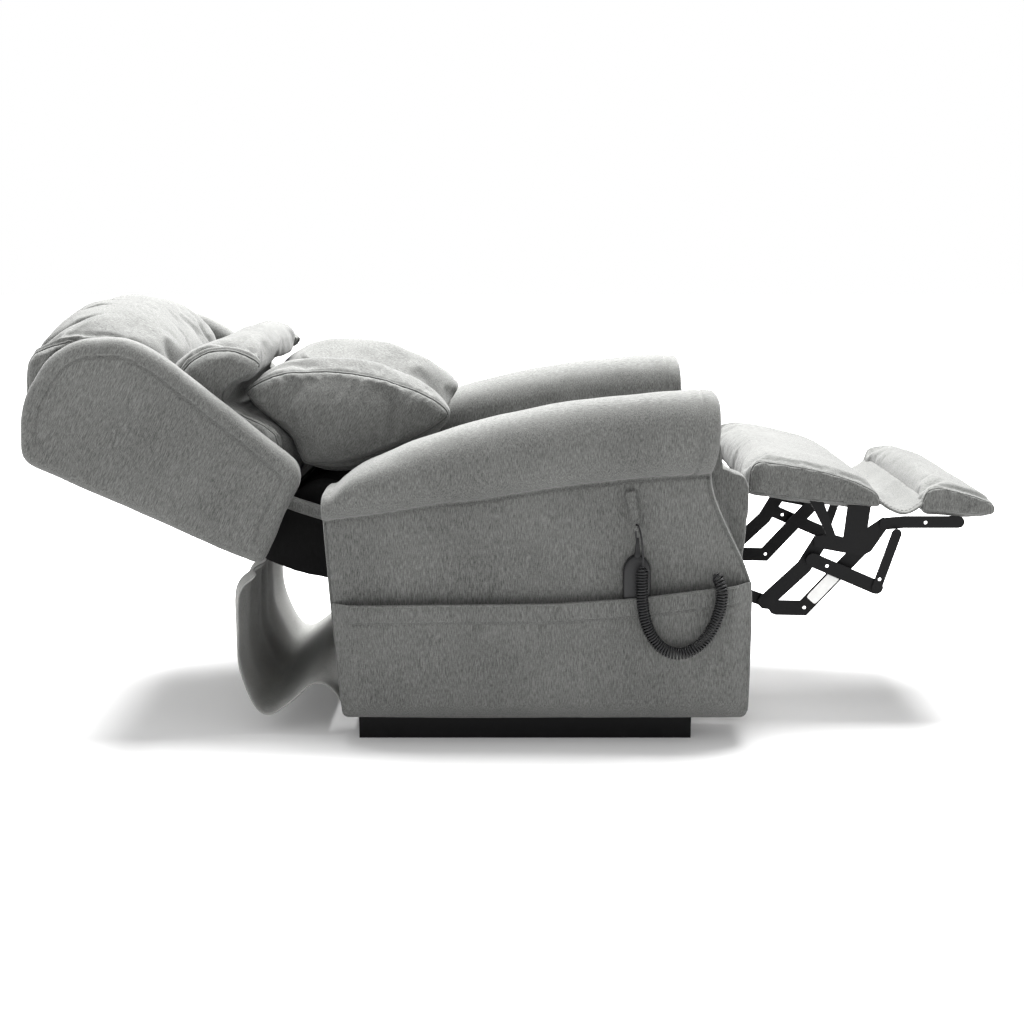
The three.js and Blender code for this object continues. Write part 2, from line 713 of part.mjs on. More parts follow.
function tube(route, radius, sidesCount, steps) {
  const curve = new THREE.CatmullRomCurve3(route.map((p) => new THREE.Vector3(...p)));
  const section = new THREE.Shape(
    [...Array(sidesCount).keys()].map((k) => {
      const turn = (2 * Math.PI * k) / sidesCount;
      return new THREE.Vector2(radius * Math.cos(turn), radius * Math.sin(turn));
    }),
  );
  return new THREE.ExtrudeGeometry(section, { steps, extrudePath: curve, bevelEnabled: false });
}

function buildHandset() {
  const inner = -boxOuter - 2;
  const outer = inner - handsetThick;
  const half = handsetWidth / 2;
  const low = 150;
  const top = 348;
  const profile = [
    [handsetX - half + 4, low], [handsetX + half - 4, low], [handsetX + half, low + 10],
    [handsetX + half, top - 30], [handsetX + half - 8, top - 8], [handsetX + 10, top],
    [handsetX - 10, top], [handsetX - half + 8, top - 8], [handsetX - half, top - 30],
    [handsetX - half, low + 10],
  ];
  const shell = slab(profile, outer, inner);
  const gland = rod([handsetX, -boxOuter - 12, top - 2], [handsetX, -boxOuter - 12, top + 4.5], 5, 10);
  const keyHalf = 6;
  const keyRows = [250, 280];
  const keys = [];
  keyRows.forEach((z) => {
    [-11, 11].forEach((dx) => keys.push([handsetX + dx, z]));
  });
  const pockets = keys.map(([x, z]) =>
    box([x - keyHalf - fitGap, inner - 2.2, z - keyHalf - fitGap],
      [x + keyHalf + fitGap, inner + 1, z + keyHalf + fitGap]));
  place("handset_body", cut(joined(shell, gland), ...pockets), blackPlastic);
  const names = ["key_back_up", "key_back_down", "key_legs_up", "key_legs_down"];
  keys.forEach(([x, z], i) => {
    const key = box([x - keyHalf, inner - 0.6, z - keyHalf], [x + keyHalf, inner + 0.9, z + keyHalf]);
    place(names[i], key, blackPlastic);
  });
  const strapTop = 458;
  const strap = slab(
    [[handsetX - 19, strapTop - 4], [handsetX - 5, strapTop], [handsetX + 6, 404], [handsetX - 4, 396],
      [handsetX - 10, 404]],
    -boxOuter - 11,
    -boxOuter - 2,
  );
  const hook = barOutline([[handsetX - 3.9, 402], [handsetX - 3.8, 406]], 8);
  const eyelet = slab(hook, -boxOuter - 30, -boxOuter);
  place("handset_strap", cut(strap, eyelet), fabric);
  place("handset_lead", tube(leadRoute, leadRadius, 8, 36), blackPlastic);
  place("handset_coil", tube(coilRoute, coilRadius, 12, 40), blackPlastic);
}

// ---------- rear drape ----------
function buildDrape() {
  const thick = 5;
  const half = 320;
  const line = smoothLine(
    [[-462, 296], [-492, 262], [-497, 190], [-495, 120], [-468, 52], [-440, 36], [-402, 60], [-366, 92],
      [-340, 96], [-318, 78], [-309, 58]],
    26,
  );
  const normal = line.map((p, i) => {
    const a = line[Math.max(i - 1, 0)];
    const b = line[Math.min(i + 1, line.length - 1)];
    const size = Math.hypot(b[0] - a[0], b[1] - a[1]);
    return [p[0] - ((b[1] - a[1]) / size) * thick, p[1] + ((b[0] - a[0]) / size) * thick];
  });
  place("rear_drape", slab([...line, ...normal.reverse()], -half, half), feltCloth);
}

buildBase();
buildLiftLinks();
buildActuator("lift_actuator", liftMotorBase, liftMotorTop, 0, 0, 1);
buildSeatFrame();
buildSeat();
buildArms();
buildPockets();
buildBack();
buildActuator("recline_actuator", reclineMotorFoot, reclineMotorTop, reclineMotorY, 0, -1);
buildActuator("footrest_actuator", footMotorFoot, footMotorTop, footMotorY, footMotorRetract, -1);
buildFootrest();
buildHandset();
buildDrape();

export default chair;
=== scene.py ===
"""Lift recliner chair, reclined with the footrest out.

The visual model around the CAD frame, in metres.
"""

import math

import bmesh
import bpy
import numpy as np
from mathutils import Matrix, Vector, noise
from mathutils.bvhtree import BVHTree


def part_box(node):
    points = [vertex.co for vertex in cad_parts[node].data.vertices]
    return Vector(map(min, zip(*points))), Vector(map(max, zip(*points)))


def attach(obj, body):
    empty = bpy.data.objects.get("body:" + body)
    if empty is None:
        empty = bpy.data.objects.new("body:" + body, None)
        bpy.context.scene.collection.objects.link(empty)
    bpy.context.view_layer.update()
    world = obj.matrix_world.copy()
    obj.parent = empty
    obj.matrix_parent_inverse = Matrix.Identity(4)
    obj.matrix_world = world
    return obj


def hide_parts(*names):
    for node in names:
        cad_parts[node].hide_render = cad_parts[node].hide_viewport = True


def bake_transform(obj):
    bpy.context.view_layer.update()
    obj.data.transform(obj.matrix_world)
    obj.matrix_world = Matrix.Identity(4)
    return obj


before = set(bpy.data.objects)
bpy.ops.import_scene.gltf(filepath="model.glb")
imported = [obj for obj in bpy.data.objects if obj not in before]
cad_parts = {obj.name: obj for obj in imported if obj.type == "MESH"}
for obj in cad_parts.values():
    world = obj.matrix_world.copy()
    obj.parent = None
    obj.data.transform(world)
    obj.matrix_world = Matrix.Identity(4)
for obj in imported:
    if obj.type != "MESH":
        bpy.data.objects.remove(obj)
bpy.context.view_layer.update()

MM = 0.001
COVER = "_cover"  # ending of a piece that stands for a CAD node
SIDES = (("left", 1), ("right", -1))

# ---------------------------------------------------------------- camera
camera_data = bpy.data.cameras.new("camera")
camera_data.lens = 56.25
camera_data.sensor_width = 36
camera = bpy.data.objects.new("camera", camera_data)
camera.location = (0, -3.096, 0.943)
camera.rotation_euler = (math.radians(79.14), 0, 0)
bpy.context.collection.objects.link(camera)
bpy.context.scene.camera = camera


# ---------------------------------------------------------------- materials
class Finish:
    """A material under construction, with short calls for its nodes."""

    def __init__(self, name):
        self.material = bpy.data.materials.new(name)
        self.material.use_nodes = True
        self.tree = self.material.node_tree
        self.tree.nodes.clear()
        self.coordinates = self.node("ShaderNodeTexCoord")

    def node(self, kind, inputs=None, **settings):
        made = self.tree.nodes.new(kind)
        for key, value in settings.items():
            setattr(made, key, value)
        for socket, value in (inputs or {}).items():
            if isinstance(value, bpy.types.NodeSocket):
                self.tree.links.new(value, made.inputs[socket])
            else:
                made.inputs[socket].default_value = value
        return made

    def math(self, operation, a, b=0.0):
        return self.node("ShaderNodeMath", {0: a, 1: b}, operation=operation).outputs[0]

    def mapped(self, scale, turn=0.0):
        source = self.coordinates.outputs["Object"]
        if turn:
            source = self.node(
                "ShaderNodeMapping", {"Vector": source, "Rotation": (0, turn, 0)}
            ).outputs[0]
        return self.node("ShaderNodeMapping", {"Vector": source, "Scale": scale}).outputs[0]

    def noise(self, scale, turn=0.0, detail=2.0, roughness=0.5):
        return self.node(
            "ShaderNodeTexNoise",
            {
                "Vector": self.mapped(scale, turn),
                "Scale": 1.0,
                "Detail": detail,
                "Roughness": roughness,
            },
        ).outputs["Fac"]

    def stretch(self, value, low, high, out_low=0.0, out_high=1.0):
        return self.node(
            "ShaderNodeMapRange",
            {
                "Value": value,
                "From Min": low,
                "From Max": high,
                "To Min": out_low,
                "To Max": out_high,
            },
        ).outputs[0]

    def blend_colour(self, factor, dark, light):
        return self.node(
            "ShaderNodeMix",
            {"Factor": factor, 6: (*dark, 1), 7: (*light, 1)},
            data_type="RGBA",
        ).outputs[2]

    def bump(self, height, distance, strength=1.0):
        return self.node(
            "ShaderNodeBump",
            {"Height": height, "Distance": distance, "Strength": strength},
        ).outputs[0]

    def close(self, colour, roughness, normal, **constants):
        shader = self.node("ShaderNodeBsdfPrincipled")
        self.tree.links.new(colour, shader.inputs["Base Color"])
        if isinstance(roughness, bpy.types.NodeSocket):
            self.tree.links.new(roughness, shader.inputs["Roughness"])
        else:
            shader.inputs["Roughness"].default_value = roughness
        self.tree.links.new(normal, shader.inputs["Normal"])
        for socket, value in constants.items():
            shader.inputs[socket.replace("_", " ")].default_value = value
        out = self.node("ShaderNodeOutputMaterial")
        self.tree.links.new(shader.outputs[0], out.inputs["Surface"])
        return self.material


def woven(name, dark, light, turn=0.0, slub=1.0, sheen=0.12):
    """Melange cloth: slubs along the warp, a plain weave, and a slow drift of tone."""
    f = Finish(name)
    normal = f.node(
        "ShaderNodeSeparateXYZ", {"Vector": f.coordinates.outputs["Normal"]}
    )
    up = f.math("ABSOLUTE", normal.outputs["Z"])
    topness = f.stretch(up, 0.55, 0.85)
    side_slub = f.noise((760, 760, 110), turn, 3.0, 0.6)
    top_slub = f.noise((110, 760, 760), turn, 3.0, 0.6)
    slubs = f.node(
        "ShaderNodeMix", {"Factor": topness, 2: side_slub, 3: top_slub}, data_type="FLOAT"
    ).outputs[0]
    speckle = f.noise((1300, 1300, 1300), turn, 1.0, 0.5)
    weft = f.noise((200, 200, 1100), turn, 2.0, 0.5)
    drift = f.noise((7, 7, 7), 0.0, 3.0, 0.55)
    warp = f.node(
        "ShaderNodeTexWave",
        {"Vector": f.mapped((1, 1, 1), turn), "Scale": 130.0, "Distortion": 1.2},
        wave_type="BANDS",
        bands_direction="X",
    ).outputs["Fac"]
    tone = f.math("MULTIPLY", f.stretch(slubs, 0.33, 0.67), 0.56 * slub)
    tone = f.math("ADD", tone, f.math("MULTIPLY", f.stretch(speckle, 0.25, 0.75), 0.26))
    tone = f.math("ADD", tone, f.math("MULTIPLY", f.stretch(weft, 0.3, 0.7), 0.14))
    tone = f.math("ADD", tone, f.math("MULTIPLY", f.stretch(drift, 0.3, 0.7), 0.14))
    colour = f.blend_colour(tone, dark, light)
    height = f.math("ADD", f.math("MULTIPLY", slubs, 0.7), f.math("MULTIPLY", speckle, 0.5))
    height = f.math("ADD", height, f.math("MULTIPLY", warp, 0.12))
    return f.close(
        colour, 0.92, f.bump(height, 0.0012, 0.55), Sheen_Weight=sheen, Sheen_Roughness=0.5,
        Specular_IOR_Level=0.15,
    )


def painted(name, dark, light, metallic=0.0, rough=(0.4, 0.6), grain=900, depth=0.0002,
            gloss=0.5):
    """Paint, plating or moulded plastic: fine orange peel, rubbed patches, uneven gloss."""
    f = Finish(name)
    peel = f.noise((grain, grain, grain), 0.0, 2.0, 0.5)
    patches = f.noise((28, 28, 28), 0.0, 4.0, 0.6)
    scuffs = f.noise((60, 300, 300), 0.4, 5.0, 0.7)
    tone = f.math("ADD", f.math("MULTIPLY", f.stretch(patches, 0.35, 0.7), 0.6),
                  f.math("MULTIPLY", f.stretch(scuffs, 0.55, 0.75), 0.4))
    roughness = f.stretch(patches, 0.3, 0.7, rough[0], rough[1])
    return f.close(
        f.blend_colour(tone, dark, light), roughness, f.bump(peel, depth, 0.5), Metallic=metallic,
        Specular_IOR_Level=gloss,
    )


def grained(name, dark, light):
    """Softwood: long growth rings with fine pores."""
    f = Finish(name)
    rings = f.node(
        "ShaderNodeTexWave",
        {"Vector": f.mapped((60, 4, 60)), "Scale": 1.0, "Distortion": 6.0, "Detail": 3.0},
        wave_type="RINGS",
        rings_direction="Y",
    ).outputs["Fac"]
    pores = f.noise((900, 30, 900), 0.0, 2.0, 0.5)
    tone = f.math("ADD", f.math("MULTIPLY", rings, 0.6), f.math("MULTIPLY", pores, 0.5))
    return f.close(f.blend_colour(tone, dark, light), 0.6, f.bump(pores, 0.0003, 0.4))


BACK_SLOPE = math.radians(24.4)
CLOTH = woven("melange_cloth", (0.014, 0.0144, 0.0134), (0.146, 0.1475, 0.142))
CLOTH_BACK = woven("melange_cloth_back", (0.014, 0.0144, 0.0134), (0.146, 0.1475, 0.142), -BACK_SLOPE)
PIPING = woven("piping_cloth", (0.02, 0.0205, 0.0193), (0.13, 0.132, 0.127), 0.7, 0.7)
FELT = woven("felt_lining", (0.12, 0.12, 0.115), (0.40, 0.402, 0.388), 0.0, 0.45)
BLACK_CLOTH = woven("black_lining", (0.0008, 0.0008, 0.0008), (0.004, 0.004, 0.0042), sheen=0.0)
THREAD = woven("sewing_thread", (0.05, 0.05, 0.048), (0.15, 0.15, 0.146), 1.1, 0.5)
STEEL = painted("black_paint", (0.0018, 0.0018, 0.002), (0.006, 0.006, 0.0066), 0.0, (0.42, 0.62),
                gloss=0.12)
ROD = painted("bright_rod", (0.42, 0.43, 0.44), (0.66, 0.67, 0.68), 0.95, (0.18, 0.34), 400)
CASE = painted("actuator_case", (0.012, 0.012, 0.013), (0.03, 0.03, 0.032), 0.0, (0.45, 0.62), 1400)
PLASTIC = painted("handset_plastic", (0.004, 0.004, 0.0045), (0.012, 0.012, 0.013), 0.0,
                  (0.34, 0.5), 1600, gloss=0.3)
KEYS = painted("key_rubber", (0.05, 0.05, 0.052), (0.09, 0.09, 0.095), 0.0, (0.6, 0.75), 1100)
WOOD = grained("pine", (0.36, 0.22, 0.11), (0.62, 0.43, 0.25))
CORD = painted("cord_rubber", (0.003, 0.003, 0.0035), (0.01, 0.01, 0.011), 0.0, (0.36, 0.5), 1300,
               gloss=0.3)
STICKER = painted("blank_label", (0.55, 0.55, 0.54), (0.72, 0.72, 0.71), 0.0, (0.4, 0.55), 500)


# ---------------------------------------------------------------- mesh helpers
def smooth_line(points, steps, closed=False):
    """Catmull-Rom line through the points, evenly sampled."""
    p = np.array(points, float)
    if closed:
        ring = np.vstack([p[-1], p, p[0], p[1]])
    else:
        ring = np.vstack([2 * p[0] - p[1], p, 2 * p[-1] - p[-2]])
    spans = len(ring) - 3
    fine = []
    for i in range(spans):
        a, b, c, d = ring[i : i + 4]
        for t in np.linspace(0, 1, 24, endpoint=False):
            fine.append(
                0.5 * (2 * b + (c - a) * t + (2 * a - 5 * b + 4 * c - d) * t**2
                       + (3 * b - a - 3 * c + d) * t**3)
            )
    fine.append(ring[-2])
    return evenly(np.array(fine), steps)


def evenly(line, steps):
    walked = np.concatenate([[0], np.cumsum(np.linalg.norm(np.diff(line, axis=0), axis=1))])
    at = np.linspace(0, walked[-1], steps)
    return np.column_stack([np.interp(at, walked, line[:, k]) for k in range(line.shape[1])])


def distance(points, line):
    """Least distance from each point to a polyline."""
    best = np.full(len(points), 9.0)
    for p, q in zip(line[:-1], line[1:]):
        d = q - p
        t = np.clip(((points - p) @ d) / max(d @ d, 1e-12), 0, 1)
        best = np.minimum(best, np.linalg.norm(points - (p + t[:, None] * d), axis=1))
    return best


def make(name, verts, faces, material, smooth=True):
    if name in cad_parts:
        name += COVER
    mesh = bpy.data.meshes.new(name)
    mesh.from_pydata([tuple(map(float, v)) for v in verts], [], [tuple(map(int, f)) for f in faces])
    built = bmesh.new()
    built.from_mesh(mesh)
    bmesh.ops.recalc_face_normals(built, faces=built.faces)
    built.to_mesh(mesh)
    built.free()
    if smooth:
        mesh.shade_smooth()
    obj = bpy.data.objects.new(name, mesh)
    bpy.context.collection.objects.link(obj)
    mesh.materials.append(material)
    return obj


def coords(obj):
    out = np.empty(len(obj.data.vertices) * 3)
    obj.data.vertices.foreach_get("co", out)
    return out.reshape(-1, 3)


def normals(obj):
    out = np.empty(len(obj.data.vertices) * 3)
    obj.data.vertices.foreach_get("normal", out)
    return out.reshape(-1, 3)


def move_to(obj, points):
    obj.data.vertices.foreach_set("co", np.asarray(points, float).ravel())
    obj.data.update()


def settle(obj):
    """Applies the modifiers."""
    graph = bpy.context.evaluated_depsgraph_get()
    mesh = bpy.data.meshes.new_from_object(obj.evaluated_get(graph))
    obj.modifiers.clear()
    obj.data = mesh
    mesh.shade_smooth()


def remesh(obj, voxel):
    modifier = obj.modifiers.new("remesh", "REMESH")
    modifier.mode = "VOXEL"
    modifier.voxel_size = voxel
    settle(obj)


def relax(obj, factor, steps):
    modifier = obj.modifiers.new("relax", "SMOOTH")
    modifier.factor = factor
    modifier.iterations = steps
    settle(obj)


def refine(obj, levels=1):
    modifier = obj.modifiers.new("refine", "SUBSURF")
    modifier.levels = levels
    modifier.render_levels = levels
    settle(obj)


def ripple(points, scale, seed):
    shift = Vector((seed * 7.3, seed * 3.1, seed * 5.7))
    return np.array([noise.noise(Vector(p) * scale + shift) for p in points])


def press(obj, line, width, depth):
    """A sewn line: the surface drops along it."""
    p = coords(obj)
    move_to(obj, p - normals(obj) * (depth * np.exp(-((distance(p, line) / width) ** 2)))[:, None])


def on_surface(obj, line, lift=0.0):
    """The line laid on the finished surface."""
    tree = BVHTree.FromPolygons(
        [v.co for v in obj.data.vertices], [list(p.vertices) for p in obj.data.polygons]
    )
    laid = []
    for point in line:
        hit, direction, _, _ = tree.find_nearest(Vector(point))
        laid.append(np.array(hit) + np.array(direction) * lift)
    return np.array(laid)


def tube(name, line, radius, material, sides=8, closed=False, flat=1.0):
    """A tube along a line; radius may be a list."""
    line = np.asarray(line, float)
    count = len(line)
    radii = np.full(count, radius) if np.isscalar(radius) else np.asarray(radius)
    if closed:
        tangents = np.roll(line, -1, 0) - np.roll(line, 1, 0)
    else:
        tangents = np.gradient(line, axis=0)
    tangents /= np.linalg.norm(tangents, axis=1)[:, None] + 1e-12
    start = np.array([0, 1, 0]) if abs(tangents[0][1]) < 0.8 else np.array([1, 0, 0])
    side = np.cross(tangents[0], start)
    side /= np.linalg.norm(side)
    verts, faces = [], []
    for i in range(count):
        side = side - tangents[i] * (side @ tangents[i])
        side /= np.linalg.norm(side)
        other = np.cross(tangents[i], side)
        for k in range(sides):
            a = 2 * math.pi * k / sides
            verts.append(line[i] + radii[i] * (math.cos(a) * side + flat * math.sin(a) * other))
    last = count if closed else count - 1
    for i in range(last):
        j = (i + 1) % count
        for k in range(sides):
            m = (k + 1) % sides
            faces.append((i * sides + k, i * sides + m, j * sides + m, j * sides + k))
    if not closed:
        faces.append(tuple(range(sides)))
        faces.append(tuple((count - 1) * sides + k for k in range(sides)))
    return make(name, verts, faces, material)


def join(name, pieces):
    """Several meshes as one object."""
    built = bmesh.new()
    for piece in pieces:
        built.from_mesh(piece.data)
    mesh = bpy.data.meshes.new(name)
    built.to_mesh(mesh)
    built.free()
    mesh.materials.append(pieces[0].data.materials[0])
    mesh.shade_smooth()
    for piece in pieces:
        bpy.data.objects.remove(piece)
    obj = bpy.data.objects.new(name, mesh)
    bpy.context.collection.objects.link(obj)
    return obj


def stitches(name, line, material, spacing=0.007, length=0.0045, radius=0.0007):
    """A row of thread stitches along a line."""
    total = np.linalg.norm(np.diff(line, axis=0), axis=1).sum()
    count = max(2, int(total / spacing))
    at = evenly(line, count * 4 + 1)
    span = max(1, round(4 * length / spacing))
    rows = []
    for i in range(count):
        rows.append(at[i * 4 : i * 4 + span + 1])
    verts, faces = [], []
    for row in rows:
        base = len(verts)
        run = row[-1] - row[0]
        run /= np.linalg.norm(run) + 1e-12
        side = np.cross(run, (0, 1, 0) if abs(run[1]) < 0.8 else (1, 0, 0))
        side /= np.linalg.norm(side)
        other = np.cross(run, side)
        for spot, size in ((row[0], 0.35), (row[0] * 0.7 + row[-1] * 0.3, 1.0),
                           (row[0] * 0.3 + row[-1] * 0.7, 1.0), (row[-1], 0.35)):
            for k in range(5):
                a = 2 * math.pi * k / 5
                verts.append(spot + radius * size * (math.cos(a) * side + math.sin(a) * other))
        for ring in range(3):
            for k in range(5):
                m = (k + 1) % 5
                faces.append((base + ring * 5 + k, base + ring * 5 + m,
                              base + ring * 5 + 5 + m, base + ring * 5 + 5 + k))
        faces.append(tuple(base + k for k in range(5)))
        faces.append(tuple(base + 15 + k for k in range(5)))
    return make(name, verts, faces, material)


def back(up, out):
    """X and Z, in metres, of a point up along the reclined back and out from it, in mm."""
    c, s = math.cos(BACK_SLOPE), math.sin(BACK_SLOPE)
    return ((-443 - up * c + out * s) * MM, (313 + up * s + out * c) * MM)


def finish_piece(obj, body, slot, *nodes, pad=None):
    """body is a body's name, which the piece is attached to, or (body, body, start, end) for cloth
    between two, which is only baked in place.
    """
    if isinstance(body, str):
        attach(obj, body)
    else:
        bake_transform(obj)
    if nodes:
        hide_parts(*nodes)
    return obj


# ---------------------------------------------------------------- handset lead
LEAD = [(217, -388, 353), (216, -388, 368), (214, -390, 386), (213, -395, 399), (215, -402, 404),
        (219, -408, 396), (223, -412, 374), (225, -413, 350), (225, -413, 335)]
COIL = [(225, -413, 334), (224, -414, 300), (226, -414, 262), (236, -414, 222), (258, -414, 190),
        (288, -414, 178), (318, -414, 188), (342, -414, 214), (357, -414, 250), (362, -414, 284),
        (358, -409, 306), (350, -398, 316)]
WIRE = 0.0035
COIL_RADIUS = 0.0091
COIL_PITCH = 0.0049
TURN_POINTS = 16


def coiled_cord():
    lead = smooth_line(np.array(LEAD) * MM, 40)
    axis_rough = smooth_line(np.array(COIL) * MM, 600)
    run = np.linalg.norm(np.diff(axis_rough, axis=0), axis=1).sum()
    turns = int(run / COIL_PITCH)
    axis = evenly(axis_rough, turns * TURN_POINTS + 1)
    tangent = np.gradient(axis, axis=0)
    tangent /= np.linalg.norm(tangent, axis=1)[:, None]
    side = np.array([0.0, 1.0, 0.0])
    points = list(lead)
    count = len(axis)
    ease = TURN_POINTS * 2
    for i in range(count):
        side = side - tangent[i] * (side @ tangent[i])
        side /= np.linalg.norm(side)
        other = np.cross(tangent[i], side)
        a = 2 * math.pi * i / TURN_POINTS
        radius = COIL_RADIUS * min(1, i / ease, (count - 1 - i) / ease)
        points.append(axis[i] + radius * (math.cos(a) * side + math.sin(a) * other))
    return np.array(points)


cord_line = coiled_cord()
cord_curve = bpy.data.curves.new("handset_cord", "CURVE")
cord_curve.dimensions = "3D"
cord_curve.bevel_depth = WIRE / 2
cord_curve.bevel_resolution = 2
cord_curve.use_fill_caps = True
spline = cord_curve.splines.new("POLY")
spline.points.add(len(cord_line) - 1)
spline.points.foreach_set("co", np.column_stack([cord_line, np.ones(len(cord_line))]).ravel())
cord_curve.materials.append(CORD)
cord = bpy.data.objects.new("handset_cord", cord_curve)
bpy.context.collection.objects.link(cord)
finish_piece(cord, "chair", "handset", "handset_lead", "handset_coil")


# ---------------------------------------------------------------- padded pieces
def prism(name, section, low, high, material):
    """A closed block: a section in XZ run along Y."""
    n = len(section)
    verts = [(x, y, z) for y in (low, high) for x, z in section]
    faces = [tuple(range(n)), tuple(range(2 * n - 1, n - 1, -1))]
    faces += [(i, (i + 1) % n, n + (i + 1) % n, n + i) for i in range(n)]
    return make(name, verts, faces, material)


def shrunk(section, margin):
    """The section moved in by a margin."""
    p = np.array(section, float)
    area = 0.5 * np.sum(p[:, 0] * np.roll(p[:, 1], -1) - np.roll(p[:, 0], -1) * p[:, 1])
    edge = np.roll(p, -1, 0) - np.roll(p, 1, 0)
    edge /= np.linalg.norm(edge, axis=1)[:, None] + 1e-12
    inward = np.column_stack([-edge[:, 1], edge[:, 0]]) * (1 if area > 0 else -1)
    return p + inward * margin


soft = []


def cushion(name, section, half, material, margin=0.012, rounding=0.03, voxel=0.006,
            pressure=4.0, cap=0.024, loose=0.03, pins=None, ends_flat=0.0, shape=None):
    """A stuffed piece: a section in XZ across its width in Y, filled with air as cloth."""
    closed = smooth_line(section, 140, closed=True)[:-1]
    inner = shrunk(closed, margin)
    obj = prism(name, inner, -half + margin, half - margin, material)
    remesh(obj, voxel)
    p = coords(obj)
    limit = half - margin
    toward = np.clip((np.abs(p[:, 1]) - (limit - rounding)) / rounding, 0, 1)
    scale = 1 - (1 - np.sqrt(np.clip(1 - toward**2, 0, 1))) * (1 - ends_flat) * 0.16
    centre = inner.mean(axis=0)
    p[:, 0] = centre[0] + (p[:, 0] - centre[0]) * scale
    p[:, 2] = centre[1] + (p[:, 2] - centre[1]) * scale
    move_to(obj, p)
    if shape:
        move_to(obj, shape(coords(obj)))
    relax(obj, 0.5, 3)
    soft.append((obj, pressure, cap, loose, pins))
    return obj


def inflate():
    """Runs the cloth of every stuffed piece at once, and keeps its result."""
    scene = bpy.context.scene
    scene.frame_set(1)
    for obj, pressure, cap, loose, pins in soft:
        group = obj.vertex_groups.new(name="held")
        p = coords(obj)
        held = pins(p) if pins else np.zeros(len(p))
        for index in np.flatnonzero(held > 0.01):
            group.add([int(index)], float(min(1, held[index])), "REPLACE")
        cloth = obj.modifiers.new("cloth", "CLOTH")
        s = cloth.settings
        s.quality = 4
        s.mass = 0.3
        s.tension_stiffness = 18
        s.compression_stiffness = 14
        s.shear_stiffness = 6
        s.bending_stiffness = 0.6
        s.use_pressure = True
        s.uniform_pressure_force = pressure
        s.shrink_min = -loose
        s.effector_weights.gravity = 0
        if held.max() > 0.01:
            s.vertex_group_mass = "held"
        cloth.collision_settings.use_collision = False
        cloth.collision_settings.use_self_collision = False
        cloth.point_cache.frame_start = 1
        cloth.point_cache.frame_end = 20
    for number in range(1, 21):
        scene.frame_set(number)
    graph = bpy.context.evaluated_depsgraph_get()
    moved = []
    for obj, pressure, cap, loose, pins in soft:
        shape = obj.evaluated_get(graph).to_mesh()
        out = np.empty(len(shape.vertices) * 3)
        shape.vertices.foreach_get("co", out)
        moved.append(out.reshape(-1, 3).copy())
        obj.evaluated_get(graph).to_mesh_clear()
    for (obj, pressure, cap, loose, pins), after in zip(soft, moved):
        before = coords(obj)
        step = after - before
        size = np.linalg.norm(step, axis=1)
        step *= (np.minimum(size, cap) / np.maximum(size, 1e-9))[:, None]
        obj.modifiers.clear()
        obj.vertex_groups.clear()
        move_to(obj, before + step)
        relax(obj, 0.5, 1)
        refine(obj)
    scene.frame_set(1)


def seam_pins(lines, width=0.006):
    """Holds the cloth along sewn lines."""
    def pins(p):
        held = np.zeros(len(p))
        for line in lines:
            held = np.maximum(held, np.exp(-((distance(p, line) / width) ** 2)))
        return held * (held > 0.2)
    return pins


def end_lines(section, half, inset, margin, scale=1.0):
    """The two sewn loops near a cushion's ends."""
    loop = shrunk(smooth_line(section, 120, closed=True), margin)
    centre = loop.mean(axis=0)
    loop = centre + (loop - centre) * scale
    return [np.column_stack([loop[:, 0], np.full(len(loop), side * (half - inset)), loop[:, 1]])
            for side in (1, -1)]


# pillows of the back
HEAD = [(290, 65), (452, 65), (508, 92), (531, 128), (540, 168), (532, 212), (502, 254),
        (452, 281), (386, 298), (318, 290), (284, 258)]
MIDDLE = [(44, 65), (284, 65), (281, 200), (275, 258), (260, 296), (231, 322), (190, 334),
          (152, 333), (136, 321), (164, 289), (181, 256), (166, 236), (60, 215)]
LUMBAR = [(166, 256), (150, 286), (120, 318), (81, 342), (9, 373), (-56, 390), (-130, 396),
          (-190, 386), (-198, 360), (-150, 290), (-80, 222), (-30, 192), (14, 180), (60, 214),
          (130, 238)]
PILLOWS = {"head_pillow": (HEAD, 288), "middle_pillow": (MIDDLE, 288), "lumbar_pillow": (LUMBAR, 252)}
OUTWARD = np.array([math.sin(BACK_SLOPE), 0, math.cos(BACK_SLOPE)])
UPWARD = np.array([-math.cos(BACK_SLOPE), 0, math.sin(BACK_SLOPE)])
BACK_CORNER = np.array([-0.443, 0, 0.313])


def smoothstep(low, high, value):
    t = np.clip((value - low) / (high - low), 0, 1)
    return t * t * (3 - 2 * t)


def domed_head(p):
    """The head pillow is full in the middle of its width and falls towards both ends."""
    up = (p - BACK_CORNER) @ UPWARD
    out = (p - BACK_CORNER) @ OUTWARD
    fall = 0.046 * smoothstep(0.10, 0.31, np.abs(p[:, 1])) * smoothstep(0.13, 0.27, out)
    tuck = 0.012 * smoothstep(0.12, 0.31, np.abs(p[:, 1])) * smoothstep(0.42, 0.54, up)
    return p - fall[:, None] * OUTWARD - tuck[:, None] * UPWARD


def domed_middle(p):
    """The middle pillow is fullest halfway across."""
    out = (p - BACK_CORNER) @ OUTWARD
    rise = 0.012 * (1 - smoothstep(0.04, 0.25, np.abs(p[:, 1]))) * smoothstep(0.20, 0.32, out)
    return p + rise[:, None] * OUTWARD


def hollow(p):
    """The middle of the lumbar pillow lies lower than its side bolsters."""
    out = (p - BACK_CORNER) @ OUTWARD
    dip = 0.046 * (1 - smoothstep(0.09, 0.20, np.abs(p[:, 1]))) * smoothstep(0.27, 0.36, out)
    return p - dip[:, None] * OUTWARD


